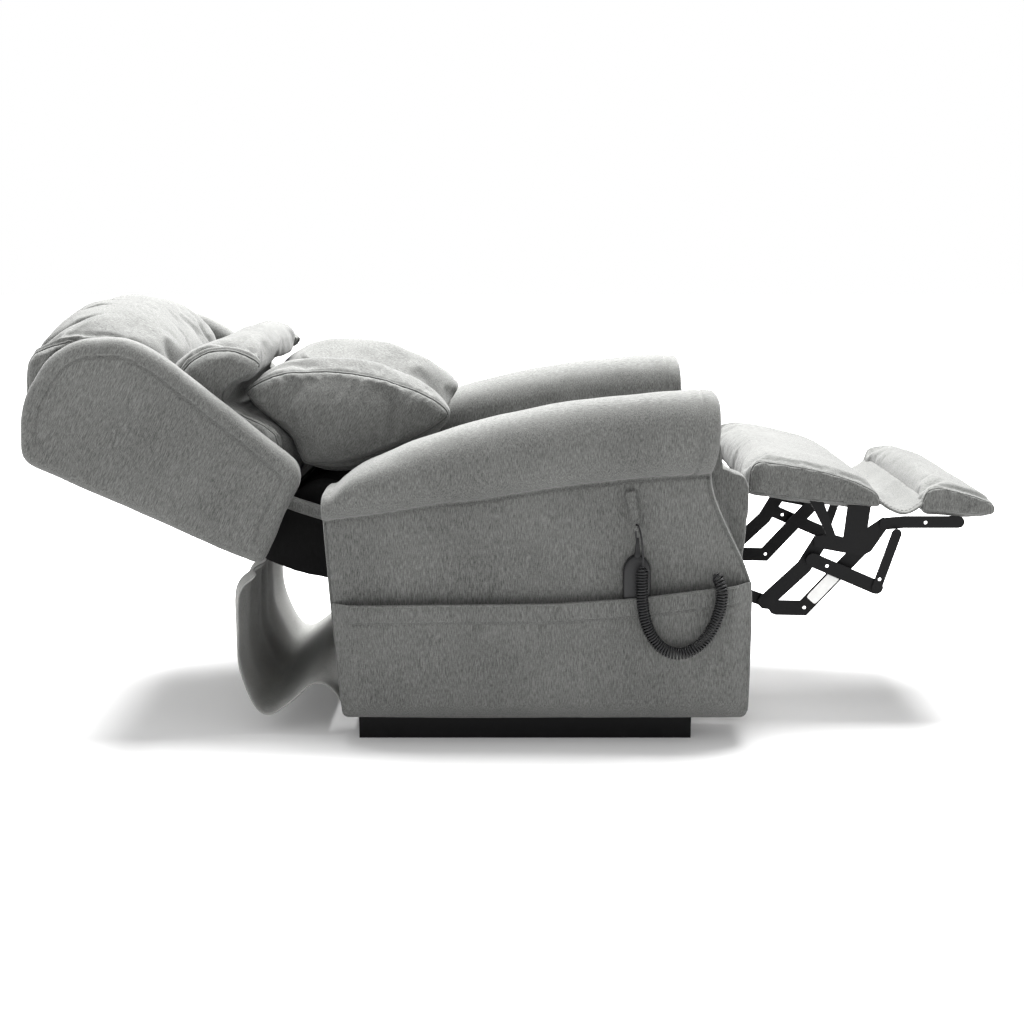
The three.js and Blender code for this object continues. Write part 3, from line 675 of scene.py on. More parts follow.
FORMS = {"head_pillow": domed_head, "middle_pillow": domed_middle, "lumbar_pillow": hollow}
pillow_seams = {}
for pillow, (section, half_mm) in PILLOWS.items():
    outline = [back(*point) for point in section]
    form = FORMS[pillow]
    seams = [form(line) for line in end_lines(outline, half_mm * MM, 0.016, 0.006, 0.99)]
    pillow_seams[pillow] = seams
    cushion(pillow, outline, half_mm * MM, CLOTH_BACK, margin=0.006, rounding=0.022, cap=0.022,
            pins=seam_pins(seams, 0.005), loose=0.05, ends_flat=0.35, shape=form)


# seat cushion
SEAT_REAR_MM = -148
SEAT_FRONT_MM = 412
SEAT_REAR = -0.148


def seat_under(x):
    """Height of the cushion's under side at x, in mm."""
    return (424 - (SEAT_FRONT_MM - x) * 0.098) * MM


def seat_over(x):
    """Height of the cushion's top at x, in mm."""
    return (482 - (SEAT_FRONT_MM - x) * 0.107) * MM


seat_section = [(-0.148, seat_under(-148)), (0.05, seat_under(50)), (0.25, seat_under(250)),
                (0.40, seat_under(400)), (0.412, seat_under(412) + 0.02),
                (0.412, seat_over(412) - 0.018), (0.396, seat_over(396)), (0.2, seat_over(200)),
                (0.0, seat_over(0)), (-0.136, seat_over(-136)), (-0.148, seat_over(-148) - 0.015)]
seat_seams = end_lines(seat_section, 0.254, 0.012, 0.008)
cushion("seat_cushion", seat_section, 0.254, CLOTH, margin=0.008, rounding=0.02, cap=0.022,
        pins=seam_pins(seat_seams), loose=0.03, ends_flat=0.5)


# footrest pads
def pad_under(x):
    return 430 - (x - 420) * 0.105


LEG_PAD = [(425, 436), (425, 470), (433, 486), (450, 492), (500, 486), (560, 474), (620, 456),
           (660, 434), (668, 420), (664, pad_under(664)), (560, pad_under(560)), (428, pad_under(428))]
FLIPPER_PAD = [(743, 398), (742, 425), (752, 441), (775, 445), (820, 434), (862, 419), (876, 408),
               (876, 394), (866, 388.5), (800, 393)]
pad_seams = {}
for pad, section in (("leg_pad", LEG_PAD), ("flipper_pad", FLIPPER_PAD)):
    outline = [(x * MM, z * MM) for x, z in section]
    seams = end_lines(outline, 0.258, 0.009, 0.003)
    pad_seams[pad] = seams
    cushion(pad, outline, 0.258, CLOTH, margin=0.002, rounding=0.012, voxel=0.0055, cap=0.010,
            pins=seam_pins(seams), loose=0.03, ends_flat=0.6)

inflate()

# the seed of each soft piece's unevenness
UNEVEN = {"head_pillow": 1.0, "middle_pillow": 2.0, "lumbar_pillow": 3.0, "seat_cushion": 4.0,
          "leg_pad": 5.0, "flipper_pad": 6.0}


def pleat(p, n):
    """Short creases fan over the upper edge of the head pillow."""
    spacing = 0.060
    depth = 0.012
    up = (p - BACK_CORNER) @ UPWARD
    out = (p - BACK_CORNER) @ OUTWARD
    fan = p[:, 1] * (1 - 0.25 * smoothstep(0.40, 0.54, up))
    crease = np.abs(np.sin(math.pi * fan / spacing + 1.6 * ripple(p, 4.0, 9.0)))
    near_edge = smoothstep(0.44, 0.50, up) * smoothstep(0.06, 0.11, out)
    return p - n * (depth * near_edge * np.exp(-((crease / 0.20) ** 2)))[:, None]


def cut_foot(p):
    """The lumbar pillow's foot, held off the seat cushion."""
    foot = -0.197
    low = np.maximum(foot - (p - BACK_CORNER) @ UPWARD, 0)
    return p + low[:, None] * UPWARD


def hold_seat(p):
    """The seat cushion, held above the links that fold under it and low at its rear."""
    look = np.clip(p[:, 0] / MM, SEAT_REAR_MM, SEAT_FRONT_MM)
    p[:, 0] = np.maximum(p[:, 0], SEAT_REAR)
    p[:, 2] = np.maximum(p[:, 2], seat_under(look) + 0.0006)
    over = seat_over(look) + 0.002 + 0.05 * smoothstep(0.0, 0.16, p[:, 0])
    p[:, 2] = np.minimum(p[:, 2], over)
    return p


for obj, *_ in soft:
    p = coords(obj)
    n = normals(obj)
    seed = UNEVEN[obj.name.removesuffix(COVER)]
    amount = 0.0035 if "pillow" in obj.name else 0.0018
    p += n * (amount * ripple(p, 11.0, seed) + amount * 0.5 * ripple(p, 27.0, seed))[:, None]
    if obj.name.startswith("head_pillow"):
        p = pleat(p, n)
    if obj.name.startswith("lumbar_pillow"):
        p = cut_foot(p)
    if obj.name.startswith("seat_cushion"):
        p = hold_seat(p)
    move_to(obj, p)

ends = dict(pillow_seams)
ends.update(pad_seams)
ends["seat_cushion"] = seat_seams
BODY_OF = {"head_pillow": "back", "middle_pillow": "back", "lumbar_pillow": "back",
           "seat_cushion": "chair", "leg_pad": "ottoman", "flipper_pad": "flipper"}
for obj, *_ in soft:
    node = obj.name.removesuffix(COVER)
    lines = [on_surface(obj, line) for line in ends[node]]
    for line in lines:
        press(obj, line, 0.0035, 0.0028)
    welts = [tube("welt", on_surface(obj, line, 0.0002), 0.0021, PIPING, 6, True)
             for line in lines]
    welt = join(node + "_welt", welts)
    body = BODY_OF[node]
    finish_piece(obj, body, "upholstery", node, pad=0.75)
    finish_piece(welt, body, "upholstery")


# ---------------------------------------------------------------- arms
ARM_INNER = 0.260
ARM_BOX = 0.376
FLOOR_GAP = 0.046
crown_line = smooth_line([(-322, 462), (-293, 501), (-231, 531), (-136, 563), (-21, 590),
                          (118, 612), (327, 630), (372, 629)], 160) * MM
seam_line = smooth_line([(-330, 405), (-248, 415), (-133, 433), (-50, 441), (82, 462),
                         (213, 476), (338, 485), (372, 486)], 160) * MM
front_line = np.array([(46, 416), (66, 420), (180, 420), (270, 420), (297, 417), (330, 404),
                       (366, 386), (400, 369), (440, 352), (470, 344), (488, 344), (505, 349),
                       (530, 354), (570, 357), (610, 356), (632, 351)], float) * MM
rear_line = np.array([(46, -302), (405, -330), (450, -329), (470, -322), (512, -293),
                      (640, -280)], float) * MM
ROLL = [(0.374, 0.0), (0.387, 0.05), (0.397, 0.18), (0.402, 0.40), (0.400, 0.60), (0.390, 0.79),
        (0.369, 0.94), (0.338, 1.0), (0.306, 0.965), (0.280, 0.85), (0.266, 0.68), (0.2605, 0.45)]
roll_section = smooth_line(ROLL, 40)


def arm_ring(s):
    """One closed ring of the arm at s from the rear, 0, to the front, 1."""
    look = -0.330 + s * 0.702
    seam = float(np.interp(look, seam_line[:, 0], seam_line[:, 1]))
    crown = float(np.interp(look, crown_line[:, 0], crown_line[:, 1]))
    outer_z = np.concatenate([np.linspace(FLOOR_GAP + 0.006, seam - 0.008, 26), [seam - 0.003]])
    bulge = np.sin(np.pi * (outer_z - FLOOR_GAP) / (seam - FLOOR_GAP)) * 0.0035
    outer = np.column_stack([ARM_BOX - 0.002 + bulge, outer_z])
    roll = np.column_stack([roll_section[:, 0], seam + (crown - seam) * roll_section[:, 1]])
    inner_z = np.linspace(roll[-1, 1] - 0.012, FLOOR_GAP + 0.006, 22)
    inner = np.column_stack([np.full(len(inner_z), ARM_INNER + 0.0008), inner_z])
    under_y = np.linspace(ARM_INNER + 0.006, ARM_BOX - 0.008, 8)
    under = np.column_stack([under_y, np.full(len(under_y), FLOOR_GAP)])
    return np.vstack([outer, roll, inner, under])


def arm_point(z, s):
    """X on the arm at height z, s of the way from its rear, 0, to its front, 1."""
    rear = np.interp(z, rear_line[:, 0], rear_line[:, 1])
    front = np.interp(z, front_line[:, 0], front_line[:, 1])
    return rear + s * (front - rear)


def arm_rings(side):
    rings = []
    steps = 150
    edge = 0.010
    for s in np.linspace(0, 1, steps):
        ring = arm_ring(s)
        x = arm_point(ring[:, 1], 0.014 + s * 0.972)
        rings.append(np.column_stack([x, ring[:, 0] * side, ring[:, 1]]))

    def cap(ring, s, direction):
        middle = 0.5 * (ARM_INNER + ARM_BOX)
        low, high = ring[:, 1].min(), ring[:, 1].max()
        spine = np.column_stack([np.full(len(ring), middle),
                                 np.clip(ring[:, 1], low + 0.055, high - 0.06)])
        reach = np.linalg.norm(ring - spine, axis=1)[:, None]
        built = []
        for turn in (25, 50, 72, 90):
            a = math.radians(turn)
            inset = edge * (1 - math.cos(a))
            moved = ring + (spine - ring) / np.maximum(reach, 1e-6) * inset
            x = arm_point(moved[:, 1], s) + direction * edge * (math.sin(a) - 1)
            built.append(np.column_stack([x, moved[:, 0] * side, moved[:, 1]]))
        last = ring + (spine - ring) / np.maximum(reach, 1e-6) * edge
        for share in (0.85, 0.68, 0.5, 0.32, 0.15, 0.03):
            moved = spine + (last - spine) * share
            x = arm_point(moved[:, 1], s) + direction * 0.004 * (1 - share**2)
            built.append(np.column_stack([x, moved[:, 0] * side, moved[:, 1]]))
        return built

    front = cap(arm_ring(1.0), 1.0, 1)
    rear = cap(arm_ring(0.0), 0.0, -1)
    return rear[::-1] + rings + front


def ring_mesh(name, rings, material):
    n = len(rings[0])
    verts = [v for ring in rings for v in ring]
    faces = []
    for i in range(len(rings) - 1):
        for k in range(n):
            m = (k + 1) % n
            faces.append((i * n + k, i * n + m, (i + 1) * n + m, (i + 1) * n + k))
    faces.append(tuple(range(n)))
    faces.append(tuple((len(rings) - 1) * n + k for k in range(n)))
    return make(name, verts, faces, material)


def arm_wall(x, z, side, proud=0.0):
    """A point of the outer panel."""
    seam = np.interp(x, seam_line[:, 0], seam_line[:, 1])
    bulge = np.sin(np.pi * np.clip((z - FLOOR_GAP) / (seam - FLOOR_GAP), 0, 1)) * 0.0035
    return (x, side * (ARM_BOX - 0.002 + bulge + proud), z)


for label, side in SIDES:
    arm = ring_mesh("arm_" + label, arm_rings(side), CLOTH)
    p = coords(arm)
    n = normals(arm)
    high = np.clip((p[:, 2] - 0.42) / 0.1, 0, 1)
    swell = 0.0016 * ripple(p, 9.0, side) + 0.0009 * ripple(p, 24.0, side + 3)
    p += n * (swell * (0.7 + 0.6 * high))[:, None]
    move_to(arm, p)
    refine(arm)
    groove = np.array([arm_wall(x, z, side) for x, z in seam_line])
    groove[:, 2] += 0.0
    press(arm, groove, 0.0032, 0.0035)
    hoop = arm_ring(0.955)
    hoop = hoop[26:26 + 52]
    hoop = np.column_stack([arm_point(hoop[:, 1], 0.955), hoop[:, 0] * side,
                            hoop[:, 1]])
    press(arm, hoop, 0.0030, 0.0030)
    p = coords(arm)
    near = np.exp(-((distance(p, groove) / 0.02) ** 2))
    pucker = np.sin(p[:, 0] * 2 * math.pi / 0.021 + 3 * ripple(p, 12.0, 5.0))
    p += normals(arm) * (0.0006 * near * pucker)[:, None]
    move_to(arm, p)
    finish_piece(arm, "chair", "upholstery", "arm_" + label, pad=0.8)

    welts = []
    z_rows = np.concatenate([np.linspace(0.062, 0.30, 30), np.linspace(0.31, 0.482, 26)])
    edge_line = np.array([(arm_point(z, 1.0) - 0.004, side * (ARM_BOX - 0.003), z)
                          for z in z_rows])
    welts.append(tube("w", on_surface(arm, edge_line, 0.0004), 0.0034, PIPING, 8))
    inner_line = edge_line.copy()
    inner_line[:, 1] = side * (ARM_INNER + 0.003)
    welts.append(tube("w", on_surface(arm, inner_line, 0.0004), 0.0028, PIPING, 8))
    back_rows = np.linspace(0.062, 0.40, 30)
    rear_edge = np.array([(arm_point(z, 0.0) + 0.004, side * (ARM_BOX - 0.003), z)
                          for z in back_rows])
    welts.append(tube("w", on_surface(arm, rear_edge, 0.0003), 0.0026, PIPING, 8))
    finish_piece(join("arm_welt_" + label, welts), "chair", "upholstery")


# ---------------------------------------------------------------- side pockets
pocket_top = np.array([(-302, 259), (-298, 260), (-180, 261), (80, 264), (220, 274), (330, 288),
                       (412, 298), (419, 299)], float) * MM
POCKET_FLOOR, POCKET_FRONT = 0.052, 0.4185


def pocket(label, side):
    columns, rows = 130, 56
    verts = []
    for face in (0, 1):
        for u in np.linspace(0, 1, columns):
            for v in np.linspace(0, 1, rows):
                x = -0.303 + u * (POCKET_FRONT + 0.303)
                top = np.interp(x, pocket_top[:, 0], pocket_top[:, 1])
                z = POCKET_FLOOR + v * (top - POCKET_FLOOR)
                rear = np.interp(z, rear_line[:, 0], rear_line[:, 1]) + 0.003
                x = rear + u * (POCKET_FRONT - rear)
                corner = 0.022
                low = POCKET_FLOOR
                if z < low + corner:
                    pull = corner - math.sqrt(max(0, corner**2 - (low + corner - z) ** 2))
                    x = min(max(x, rear + pull), POCKET_FRONT - pull)
                ends_fade = min(1, u / 0.05, (1 - u) / 0.05)
                ends_fade = ends_fade * ends_fade * (3 - 2 * ends_fade)
                foot = min(1, v / 0.16)
                foot = math.sin(foot * math.pi / 2)
                puff = 0.0222 * ends_fade * foot * (0.86 + 0.14 * v)
                wave = 0.0011 * noise.noise(Vector((x * 11, z * 11, side * 4)))
                seam = np.interp(x, seam_line[:, 0], seam_line[:, 1])
                wall = 0.0035 * math.sin(math.pi * (z - FLOOR_GAP) / (seam - FLOOR_GAP))
                y = ARM_BOX - 0.001 + wall * (1 - ends_fade) + puff + wave * ends_fade
                y += 0.0026 if face == 0 else -0.0004
                verts.append((x, side * y, z))
    faces = []
    grid = columns * rows
    for face in (0, 1):
        for i in range(columns - 1):
            for k in range(rows - 1):
                a = face * grid + i * rows + k
                faces.append((a, a + 1, a + rows + 1, a + rows))
    rim = [i * rows + rows - 1 for i in range(columns)]
    rim = rim + [(columns - 1) * rows + k for k in range(rows - 2, -1, -1)]
    rim = rim + [i * rows for i in range(columns - 2, -1, -1)] + list(range(1, rows - 1))
    for a, b in zip(rim, rim[1:] + rim[:1]):
        faces.append((a, b, grid + b, grid + a))
    cloth = make("side_pocket_" + label, verts, faces, CLOTH)
    refine(cloth)
    hem_x = np.linspace(-0.285, 0.400, 150)
    hem = []
    for x in hem_x:
        top = np.interp(x, pocket_top[:, 0], pocket_top[:, 1])
        hem.append((x, side * 0.41, top - 0.034))
    hem = on_surface(cloth, hem)
    press(cloth, hem, 0.0028, 0.0016)
    finish_piece(cloth, "chair", "upholstery", "side_pocket_" + label)
    row = stitches("pocket_stitches_" + label, on_surface(cloth, hem, 0.0002), THREAD)
    finish_piece(row, "chair", "upholstery")
    lip = [(x, side * 0.41, np.interp(x, pocket_top[:, 0], pocket_top[:, 1]) - 0.002)
           for x in hem_x]
    roll = tube("pocket_lip_" + label, on_surface(cloth, lip, -0.0004), 0.0024, CLOTH, 8)
    finish_piece(roll, "chair", "upholstery")


for label, side in SIDES:
    pocket(label, side)


# ---------------------------------------------------------------- wings of the back
WING = [(0, 0), (458, 0), (496, 92), (482, 190), (450, 238), (371, 279), (300, 274), (160, 236),
        (14, 196), (-4, 170), (2, 110)]


def wing_outline():
    """Corners kept crisp at the rear face, and rounded in front."""
    rounded = []
    pts = [np.array(p, float) for p in WING]
    for i, p in enumerate(pts):
        a, b = pts[i - 1], pts[(i + 1) % len(pts)]
        radius = min(26 if i in (0, 1) else 40, 0.45 * np.linalg.norm(a - p),
                     0.45 * np.linalg.norm(b - p))
        start = p + (a - p) / np.linalg.norm(a - p) * radius
        stop = p + (b - p) / np.linalg.norm(b - p) * radius
        for t in np.linspace(0, 1, 9):
            rounded.append((1 - t) ** 2 * start + 2 * t * (1 - t) * p + t**2 * stop)
    return evenly(np.array(rounded + rounded[:1]), 240)


WING_INNER, WING_OUTER = 0.292, 0.346
for label, side in SIDES:
    flat = wing_outline()
    line = np.array([back(*q) for q in flat])
    block = prism("back_wing_" + label, line[:-1], *sorted((side * WING_INNER, side * WING_OUTER)),
                  CLOTH_BACK)
    remesh(block, 0.005)
    p = coords(block)
    edge = distance(p[:, [0, 2]], line)
    middle = 0.5 * (WING_INNER + WING_OUTER)
    half = 0.5 * (WING_OUTER - WING_INNER)
    radius = 0.021
    t = np.clip(edge / radius, 0, 1)
    share = 0.30 + 0.62 * np.sqrt(1 - (1 - t) ** 2) + 0.08 * np.clip(edge / 0.12, 0, 1)
    p[:, 1] = side * middle + (p[:, 1] - side * middle) * share
    move_to(block, p)
    relax(block, 0.5, 4)
    refine(block)
    p = coords(block)
    up = ((-0.443 - p[:, 0]) * math.cos(BACK_SLOPE) + (p[:, 2] - 0.313) * math.sin(BACK_SLOPE))
    fold = np.exp(-(((up - 0.03) / 0.03) ** 2))
    p += normals(block) * (0.0016 * ripple(p, 9, 20 + side) + 0.0008 * ripple(p, 26, 23 + side)
                           + 0.0035 * fold * ripple(p, 30, 27))[:, None]
    move_to(block, p)
    band = shrunk(flat[:-1], 31.0)
    keep = (band[:, 1] > 40) & (band[:, 0] > 8)
    start = int(np.argmax(~keep & np.roll(keep, -1)))
    band = np.roll(band, -start - 1, axis=0)[: int(keep.sum())]
    front_band = np.array([(back(*q)[0], side * 0.36, back(*q)[1]) for q in band])
    laid = on_surface(block, front_band)
    press(block, laid, 0.0030, 0.0026)
    finish_piece(block, "back", "upholstery", "back_wing_" + label, pad=0.7)
    row = stitches("wing_stitches_" + label, on_surface(block, laid, 0.0002), THREAD)
    finish_piece(row, "back", "upholstery")


# ---------------------------------------------------------------- back panel, lining, strip
def back_slab(name, up_low, up_high, out_low, out_high, half, material, slot, node, crown=0.004):
    corners = [back(up_low, out_low), back(up_high, out_low), back(up_high, out_high),
               back(up_low, out_high)]
    outline = []
    for a, b in zip(corners, corners[1:] + corners[:1]):
        for t in np.linspace(0, 1, 20, endpoint=False):
            outline.append((a[0] + (b[0] - a[0]) * t, a[1] + (b[1] - a[1]) * t))
    slab = prism(name, outline, -half, half, material)
    remesh(slab, 0.011)
    relax(slab, 0.5, 3)
    p = coords(slab)
    p += normals(slab) * (crown * 0.5 * ripple(p, 7, 31))[:, None]
    move_to(slab, p)
    refine(slab)
    return finish_piece(slab, "back", slot, *node)


back_slab("back_panel", 32, 454, 2, 60, 0.289, CLOTH_BACK, "upholstery", ["back_panel"])

LINING_OUTLINE = [back(24, 0), back(24, 60), (-0.346, 0.457), (-0.290, 0.434), (-0.234, 0.407),
                  (-0.229, 0.350), (-0.230, 0.284), (-0.280, 0.272), (-0.330, 0.266),
                  (-0.421, 0.293)]


def soft_block(name, outline, low, high, material, voxel=0.007, smooth=4, wave=0.002, seed=1):
    block = prism(name, outline, low, high, material)
    remesh(block, voxel)
    relax(block, 0.5, smooth)
    p = coords(block)
    p += normals(block) * (wave * ripple(p, 9, seed) + 0.4 * wave * ripple(p, 28, seed + 1))[:, None]
    move_to(block, p)
    refine(block)
    return block


lining = soft_block("lower_back_lining", smooth_line(LINING_OUTLINE, 70, closed=True)[:-1],
                    -0.2055, 0.2055, BLACK_CLOTH, 0.009, 2, 0.003, 41)
finish_piece(lining, "back", "black_cloth")

# side cheeks of the lower back: black lining cloth between the back and the arms, with a grey strip
for label, side in SIDES:
    cheek_line = [back(28, 2), back(28, 60), (-0.352, 0.452), (-0.262, 0.416), (-0.250, 0.372),
                  (-0.252, 0.296), (-0.330, 0.272), (-0.424, 0.296)]
    cheek = soft_block("back_cheek_" + label, smooth_line(cheek_line, 60, closed=True)[:-1],
                       *sorted((side * 0.2035, side * 0.2485)), BLACK_CLOTH, 0.007, 3, 0.002, 43)
    finish_piece(cheek, "back", "black_cloth")
    y_mid = side * 0.268
    rows = smooth_line([(-0.424, 0.428), (-0.385, 0.413), (-0.345, 0.400), (-0.312, 0.388)], 24)
    verts, faces = [], []
    for x, z in rows:
        for y, dz in ((-0.011, 0.013), (-0.013, 0.0), (-0.011, -0.013), (0.011, -0.014),
                      (0.013, 0.0), (0.011, 0.014)):
            verts.append((x, y_mid + y, z + dz))
    for i in range(len(rows) - 1):
        for k in range(6):
            m = (k + 1) % 6
            faces.append((i * 6 + k, i * 6 + m, i * 6 + 6 + m, i * 6 + 6 + k))
    faces.append(tuple(range(6)))
    faces.append(tuple((len(rows) - 1) * 6 + k for k in range(6)))
    strip = make("back_webbing_" + label, verts, faces, CLOTH)
    refine(strip, 2)
    finish_piece(strip, "back", "upholstery")

rail_low, rail_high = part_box("front_seat_rail")
rail = soft_block("front_seat_rail",
                  [(rail_low.x, rail_low.z), (rail_high.x, rail_low.z),
                   (rail_high.x, rail_high.z), (rail_low.x, rail_high.z)],
                  rail_low.y, rail_high.y, CLOTH, 0.004, 4, 0.001, 51)
finish_piece(rail, "chair", "upholstery", "front_seat_rail", pad=0.6)

# front posts inside the arms, seen past the curved edge of the panels
POST = [(0.350, 0.300), (0.404, 0.298), (0.412, 0.330), (0.417, 0.380), (0.420, 0.432),
        (0.417, 0.464), (0.400, 0.478), (0.352, 0.474)]
for label, side in SIDES:
    post = soft_block("arm_post_" + label, smooth_line(POST, 70, closed=True)[:-1],
                      *sorted((side * 0.2615, side * 0.315)), CLOTH, 0.0045, 5, 0.0018, 53 + side)
    finish_piece(post, "chair", "upholstery", pad=0.7)


# ---------------------------------------------------------------- flap between the pads
def ribbon(name, line, half, thick, material, columns=60, wave=0.0, seed=1, hem=0.010):
    """A cloth of even thickness along a line in XZ, across Y, thinner at its hems."""
    line = np.asarray(line, float)
    tangent = np.gradient(line, axis=0)
    tangent /= np.linalg.norm(tangent, axis=1)[:, None]
    normal = np.column_stack([-tangent[:, 1], tangent[:, 0]])
    rows = len(line)
    across = np.linspace(-half, half, columns)
    verts = []
    for face in (1, -1):
        for i in range(rows):
            for y in across:
                edge = min(half - abs(y), hem) / hem
                rim = min(min(i, rows - 1 - i) / 2, 1)
                t = 0.5 * thick * (0.45 + 0.55 * math.sqrt(max(0, 1 - (1 - edge) ** 2)))
                t *= 0.5 + 0.5 * rim
                lift = wave * noise.noise(Vector((line[i][0] * 9, y * 9, seed)))
                lift += 0.5 * wave * noise.noise(Vector((line[i][0] * 22, y * 22, seed + 3)))
                p = line[i] + normal[i] * (t * face + lift)
                verts.append((p[0], y, p[1]))
    faces = []
    grid = rows * columns
    for face in (0, 1):
        for i in range(rows - 1):
            for k in range(columns - 1):
                a = face * grid + i * columns + k
                faces.append((a, a + 1, a + columns + 1, a + columns))
    rim = [k for k in range(columns)]
    rim += [i * columns + columns - 1 for i in range(1, rows)]
    rim += [(rows - 1) * columns + k for k in range(columns - 2, -1, -1)]
    rim += [i * columns for i in range(rows - 2, 0, -1)]
    for a, b in zip(rim, rim[1:] + rim[:1]):
        faces.append((a, b, grid + b, grid + a))
    return make(name, verts, faces, material)


flap_line = smooth_line([(0.652, 0.424), (0.668, 0.4145), (0.682, 0.404), (0.698, 0.396),
                         (0.710, 0.3935), (0.724, 0.397), (0.738, 0.406), (0.752, 0.418)], 40)
flap = ribbon("pad_flap", flap_line, 0.252, 0.007, CLOTH, 110, 0.003, 61)
refine(flap)
flap_bend = ("ottoman", "flipper", (0.664, 0, 0.40), (0.744, 0, 0.40))
flap_hems = []
for edge in (1, -1):
    row = np.array([(x, edge * 0.243, z + 0.004) for x, z in flap_line[3:-3]])
    flap_hems.append(on_surface(flap, row, 0.0002))
hem_rows = [stitches("s", line, THREAD) for line in flap_hems]
hem = join("flap_stitches", hem_rows)
finish_piece(hem, flap_bend, "upholstery")
finish_piece(flap, flap_bend, "upholstery", "pad_flap")

# ---------------------------------------------------------------- rear drape
drape_line = smooth_line([(-462, 294), (-492, 262), (-497, 190), (-495, 120), (-468, 52),
                          (-440, 37), (-402, 60), (-366, 92), (-340, 96), (-318, 78),
                          (-309, 60)], 110) * MM
drape = ribbon("rear_drape", drape_line, 0.318, 0.0046, FELT, 150, 0.0, 71, 0.006)
p = coords(drape)
height = np.clip((p[:, 2] - 0.06) / 0.2, 0, 1)
fold = np.sin(p[:, 1] * 2 * math.pi / 0.115 + 2.2 * ripple(p, 5.0, 72))
sag = 0.0055 * fold * (0.35 + 0.65 * height) + 0.006 * ripple(p, 5.0, 73)
rear_part = np.clip((-0.40 - p[:, 0]) / 0.05, 0, 1)
p[:, 0] += sag * rear_part
p[:, 2] += 0.004 * ripple(p, 7.0, 74) * (1 - rear_part)
p[:, 2] = np.maximum(p[:, 2], 0.012)
move_to(drape, p)
refine(drape)
finish_piece(drape, ("back", "chair", (-0.488, 0, 0.24), (-0.350, 0, 0.07)), "drape", "rear_drape")

# ---------------------------------------------------------------- handset
HAND_X, HAND_INNER = 0.217, -0.378


def handset():
    """Moulded body: a rounded outline, tapered to its gland, with a parting line."""
    outline = smooth_line([(193, 162), (196, 152), (205, 149), (217, 148.5), (229, 149), (238, 152),
                           (241, 162), (241, 240), (241, 316), (237, 334), (228, 344), (217, 348),
                           (206, 344), (197, 334), (193, 316), (193, 240)], 96, closed=True)[:-1] * MM
    centre = np.array([HAND_X, 0.248])
    verts, faces = [], []
    depth = [(0.0000, 0.93), (0.0012, 0.975), (0.0035, 1.0), (0.0078, 1.0), (0.0081, 0.985),
             (0.0087, 0.985), (0.0090, 1.0), (0.0128, 0.985), (0.0152, 0.94), (0.0165, 0.86),
             (0.0170, 0.72), (0.0171, 0.4)]
    for out, share in depth:
        for q in outline:
            x = centre[0] + (q[0] - centre[0]) * share
            z = centre[1] + (q[1] - centre[1]) * (1 - (1 - share) * 0.35)
            verts.append((x, HAND_INNER - out, z))
    n = len(outline)
    for i in range(len(depth) - 1):
        for k in range(n):
            m = (k + 1) % n
            faces.append((i * n + k, i * n + m, (i + 1) * n + m, (i + 1) * n + k))
    faces.append(tuple(range(n)))
    faces.append(tuple((len(depth) - 1) * n + k for k in range(n)))
    return make("handset_body", verts, faces, PLASTIC)


hand = handset()
finish_piece(hand, "chair", "handset", "handset_body")
relief = tube("handset_gland", [(0.217, -0.388, z) for z in (0.340, 0.345, 0.350, 0.3535, 0.358,
                                                              0.366, 0.378)],
              [0.0062, 0.0062, 0.0058, 0.0048, 0.0042, 0.0034, 0.0026], PLASTIC, 14)
finish_piece(relief, "chair", "handset")

# strap that holds the lead: a folded strip of the cover cloth
strap_line = smooth_line([(0.2045, -0.3795, 0.4600), (0.2050, -0.3815, 0.448),
                          (0.2080, -0.3845, 0.432), (0.2115, -0.3860, 0.415),
                          (0.2145, -0.3865, 0.402), (0.2160, -0.3900, 0.3945),
                          (0.2160, -0.3960, 0.3925), (0.2155, -0.3985, 0.398),
                          (0.2140, -0.3950, 0.408), (0.2110, -0.3905, 0.424),
                          (0.2070, -0.3870, 0.442), (0.2040, -0.3840, 0.4585)], 60)
verts, faces = [], []
count = len(strap_line)
for i, q in enumerate(strap_line):
    t = i / (count - 1)
    width = 0.0085 - 0.0028 * math.sin(math.pi * t)
    for k, (w, o) in enumerate(((-1, -0.5), (-0.5, -0.7), (0, -0.8), (0.5, -0.7), (1, -0.5),
                                (1, 0.5), (0.5, 0.7), (0, 0.8), (-0.5, 0.7), (-1, 0.5))):
        verts.append((q[0] + w * width, q[1] + o * 0.0013 * (1 if q[2] > 0.4 else 1),
                      q[2] + w * width * 0.28))
for i in range(count - 1):
    for k in range(10):
        m = (k + 1) % 10
        faces.append((i * 10 + k, i * 10 + m, i * 10 + 10 + m, i * 10 + 10 + k))
faces.append(tuple(range(10)))
faces.append(tuple((count - 1) * 10 + k for k in range(10)))
strap = make("handset_strap", verts, faces, CLOTH)
finish_piece(strap, "chair", "upholstery", "handset_strap")

# ---------------------------------------------------------------- carried-over nodes
SKINS = {"rod": ROD, "housing": CASE, "deck": WOOD, "key_": KEYS}
shown = {name: node for name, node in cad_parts.items()}
for name, node in shown.items():
    skin = next((s for word, s in SKINS.items() if word in name), STEEL)
    if name == "lower_back_frame":
        skin = BLACK_CLOTH
    node.data.materials.clear()
    node.data.materials.append(skin)


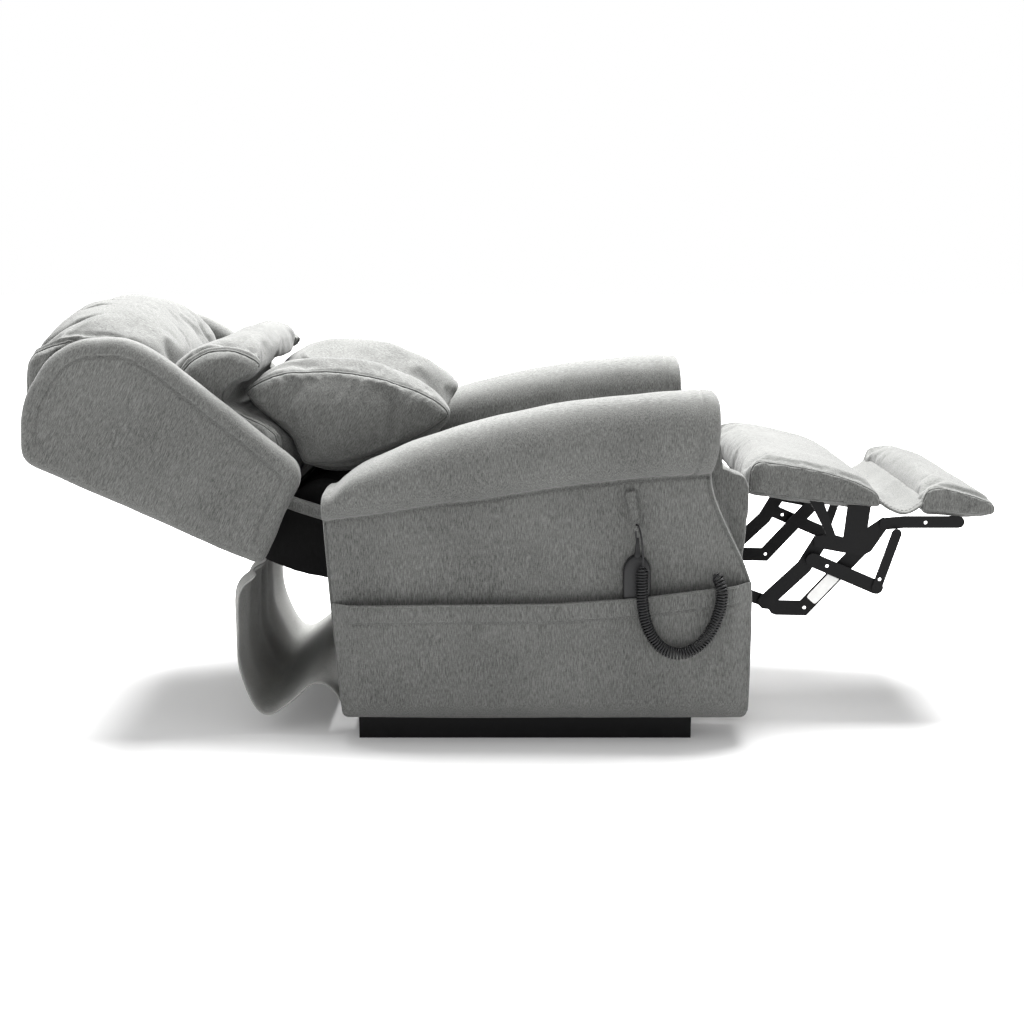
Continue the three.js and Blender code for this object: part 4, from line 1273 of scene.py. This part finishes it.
# blank label on the rear footrest link
label_axis = np.array([103.0, 114.0])
label_axis /= np.linalg.norm(label_axis)
label_side = np.array([-label_axis[1], label_axis[0]])
label_middle = np.array([0.5725, 0.2525])
verts, faces = [], []
for y in (-0.23205, -0.23235):
    for t in range(32):
        a = 2 * math.pi * t / 32
        u = math.copysign(abs(math.cos(a)) ** 0.25, math.cos(a)) * 0.034
        v = math.copysign(abs(math.sin(a)) ** 0.25, math.sin(a)) * 0.0112
        q = label_middle + label_axis * u + label_side * v
        verts.append((q[0], y, q[1]))
faces = [tuple(range(32)), tuple(range(63, 31, -1))]
faces += [(k, (k + 1) % 32, 32 + (k + 1) % 32, 32 + k) for k in range(32)]
blank = make("blank_label", verts, faces, STICKER, smooth=False)
finish_piece(blank, "rear_links", "steel")


# ---------------------------------------------------------------- stage and light
def stage_floor():
    """A pale floor with painted light: it glows, brighter away from the chair, until it meets the
    white background.
    """
    f = Finish("floor")
    drift = f.noise((0.8, 0.8, 0.8), 0.0, 2.0, 0.5)
    tone = f.stretch(drift, 0.3, 0.7)
    colour = f.blend_colour(tone, (0.54, 0.54, 0.54), (0.58, 0.58, 0.58))
    material = f.close(colour, 0.8, f.bump(drift, 0.0005, 0.1), Emission_Color=(1, 1, 1, 1))
    # painted light: the floor glows at strength 0.11 near the chair, rising to 1.11 from 2.4 m out
    away = f.node("ShaderNodeVectorMath", {0: f.coordinates.outputs["Object"]}, operation="LENGTH")
    painted_glow = f.math("ADD", f.stretch(away.outputs["Value"], 0.9, 2.4), 0.11)
    shader = next(node for node in f.tree.nodes if node.type == "BSDF_PRINCIPLED")
    f.tree.links.new(painted_glow, shader.inputs["Emission Strength"])
    size = 14
    floor = make("floor", [(-size, -size, 0), (size, -size, 0), (size, size, 0), (-size, size, 0)],
                 [(0, 1, 2, 3)], material, smooth=False)


stage_floor()
world = bpy.data.worlds.new("world")
bpy.context.scene.world = world
world.use_nodes = True
world.node_tree.nodes["Background"].inputs["Color"].default_value = (1, 1, 1, 1)
world.node_tree.nodes["Background"].inputs["Strength"].default_value = 1.0


def softbox(name, place, aim, size, power):
    light = bpy.data.lights.new(name, "AREA")
    light.shape = "RECTANGLE"
    light.size, light.size_y = size
    light.energy = power
    lamp = bpy.data.objects.new(name, light)
    lamp.location = place
    lamp.rotation_euler = (Vector(aim) - Vector(place)).to_track_quat("-Z", "Y").to_euler()
    bpy.context.collection.objects.link(lamp)


softbox("top", (0.0, 1.0, 3.4), (0, 0, 0.3), (3.6, 2.8), 940)
softbox("key", (-1.6, -2.6, 2.6), (0, 0, 0.35), (1.8, 1.8), 10)
bpy.context.scene.view_settings.view_transform = "Standard"
